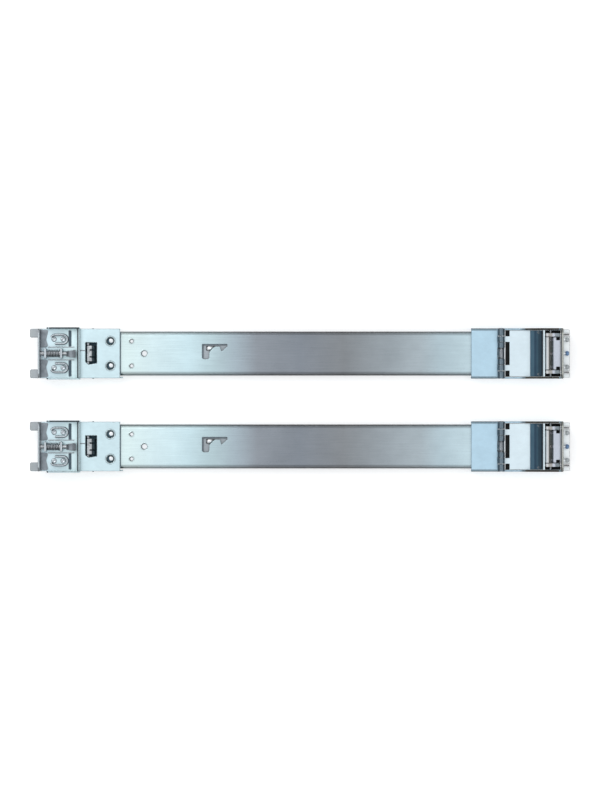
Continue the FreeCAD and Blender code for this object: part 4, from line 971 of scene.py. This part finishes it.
def add_step_shade(rail):
    """Dark strip along the end wall of the rear tray: painted shade on the step."""
    wall = rail.box("rear_bracket")[0].x + 55.2
    wall_top = rail.floor_top + 8.0
    shade_bar = strip(wall + 0.1, wall + 1.6, rail.mid - 29.6, rail.mid + 29.6, 0.4, 3)
    rail.add("step_shade_strip", [extruded(shade_bar, wall_top - 0.6, wall_top + 0.5, lying)], "rubber_stop",
             "rear", rounded_by=0.2)


for side in SIDES:
    rail = Rail(side)
    for add_to in (add_balls, add_front_springs, add_hinge, add_pins, add_loops, add_plunger,
                   add_plunged_holes, add_channel_holes, add_shade_trims, add_cap_screws, add_cutout,
                   add_tray_plates, add_lip_and_seam, add_pawl_shade_and_springs, add_slot_shades,
                   add_post_caps, add_step_shade):
        add_to(rail)


# ---- Stage, light and camera ----
LENS, SENSOR = 200, 36  # millimetres
FACE_HEIGHT = 0.019  # the level that the view is sized for
HALF_VIEW = 0.4652  # half the view's height there, in metres
FLOOR_HALF = 4000  # millimetres
FLOOR_DROP = 0.0003  # below the rails, in metres
FLOOR_TONE, FLOOR_GLOW = 0.86, 0.42

camera_data = bpy.data.cameras.new("camera")
camera_data.lens = LENS
camera_data.sensor_width = SENSOR
camera_data.clip_end = 50
camera = bpy.data.objects.new("camera", camera_data)
bpy.context.scene.collection.objects.link(camera)
camera.location = (0, 0, FACE_HEIGHT + HALF_VIEW / (SENSOR / 2 / LENS))
bpy.context.scene.camera = camera

floor_mesh = mesh_of("floor", [(-FLOOR_HALF, -FLOOR_HALF, 0), (FLOOR_HALF, -FLOOR_HALF, 0),
                               (FLOOR_HALF, FLOOR_HALF, 0), (-FLOOR_HALF, FLOOR_HALF, 0)],
                     [(0, 1, 2, 3)])
floor = bpy.data.objects.new("floor", floor_mesh)
bpy.context.scene.collection.objects.link(floor)
floor.location.z = cad_low.z - FLOOR_DROP
n = Nodes(bpy.data.materials.new("pale_floor"))
n.bsdf.inputs["Base Color"].default_value = (FLOOR_TONE, FLOOR_TONE, FLOOR_TONE, 1)
n.bsdf.inputs["Roughness"].default_value = 0.9
n.bsdf.inputs["Specular IOR Level"].default_value = 0.1
# The glow lights nothing: only the camera, reflections and clear pieces see it.
rays = n.add("ShaderNodeLightPath").outputs
seen = n.maths("MAXIMUM", rays["Is Camera Ray"], rays["Is Glossy Ray"])
seen = n.maths("MAXIMUM", seen, rays["Is Transmission Ray"])
glow = n.add("ShaderNodeEmission")
n.join(n.maths("MULTIPLY", seen, FLOOR_GLOW), glow.inputs["Strength"])
both = n.add("ShaderNodeAddShader")
n.join(n.bsdf.outputs[0], both.inputs[0])
n.join(glow.outputs[0], both.inputs[1])
n.join(both.outputs[0], n.out.inputs[0])
floor_mesh.materials.append(n.material)

# Sky: pale overhead and darker towards the horizon; white where the camera sees it.
SKY_LEVELS = ((0.0, 0.10), (0.3, 0.22), (0.62, 0.6), (0.86, 0.98))
world = bpy.data.worlds.new("studio")
bpy.context.scene.world = world
world.use_nodes = True
tree = world.node_tree
tree.nodes.clear()
out = tree.nodes.new("ShaderNodeOutputWorld")
sky = tree.nodes.new("ShaderNodeBackground")
white = tree.nodes.new("ShaderNodeBackground")
white.inputs[0].default_value = (1, 1, 1, 1)
white.inputs[1].default_value = 1.0
coords = tree.nodes.new("ShaderNodeTexCoord")
split = tree.nodes.new("ShaderNodeSeparateXYZ")
ramp = tree.nodes.new("ShaderNodeValToRGB")
while len(ramp.color_ramp.elements) < len(SKY_LEVELS):
    ramp.color_ramp.elements.new(0.5)
for element, (at, level) in zip(ramp.color_ramp.elements, SKY_LEVELS):
    element.position = at
    element.color = (level * 0.98, level, level * 1.02, 1)
path = tree.nodes.new("ShaderNodeLightPath")
mixer = tree.nodes.new("ShaderNodeMixShader")
for source, target in ((coords.outputs["Generated"], split.inputs[0]),
                       (split.outputs[2], ramp.inputs[0]),
                       (ramp.outputs[0], sky.inputs[0]),
                       (path.outputs["Is Camera Ray"], mixer.inputs[0]),
                       (sky.outputs[0], mixer.inputs[1]),
                       (white.outputs[0], mixer.inputs[2]),
                       (mixer.outputs[0], out.inputs[0])):
    tree.links.new(source, target)


def lamp(name, place, power, size):
    """Square area lamp at a place, turned to the middle of the pair."""
    data = bpy.data.lights.new(name, "AREA")
    data.energy = power
    data.size = size
    obj = bpy.data.objects.new(name, data)
    obj.location = place
    obj.rotation_mode = "QUATERNION"
    obj.rotation_quaternion = (-obj.location).to_track_quat("-Z", "Y")
    bpy.context.scene.collection.objects.link(obj)


lamp("key", (-0.9, 0.9, 1.5), 9.0, 1.0)
lamp("fill", (1.1, -0.8, 1.3), 4.0, 1.2)
bpy.context.scene.view_settings.view_transform = "Standard"
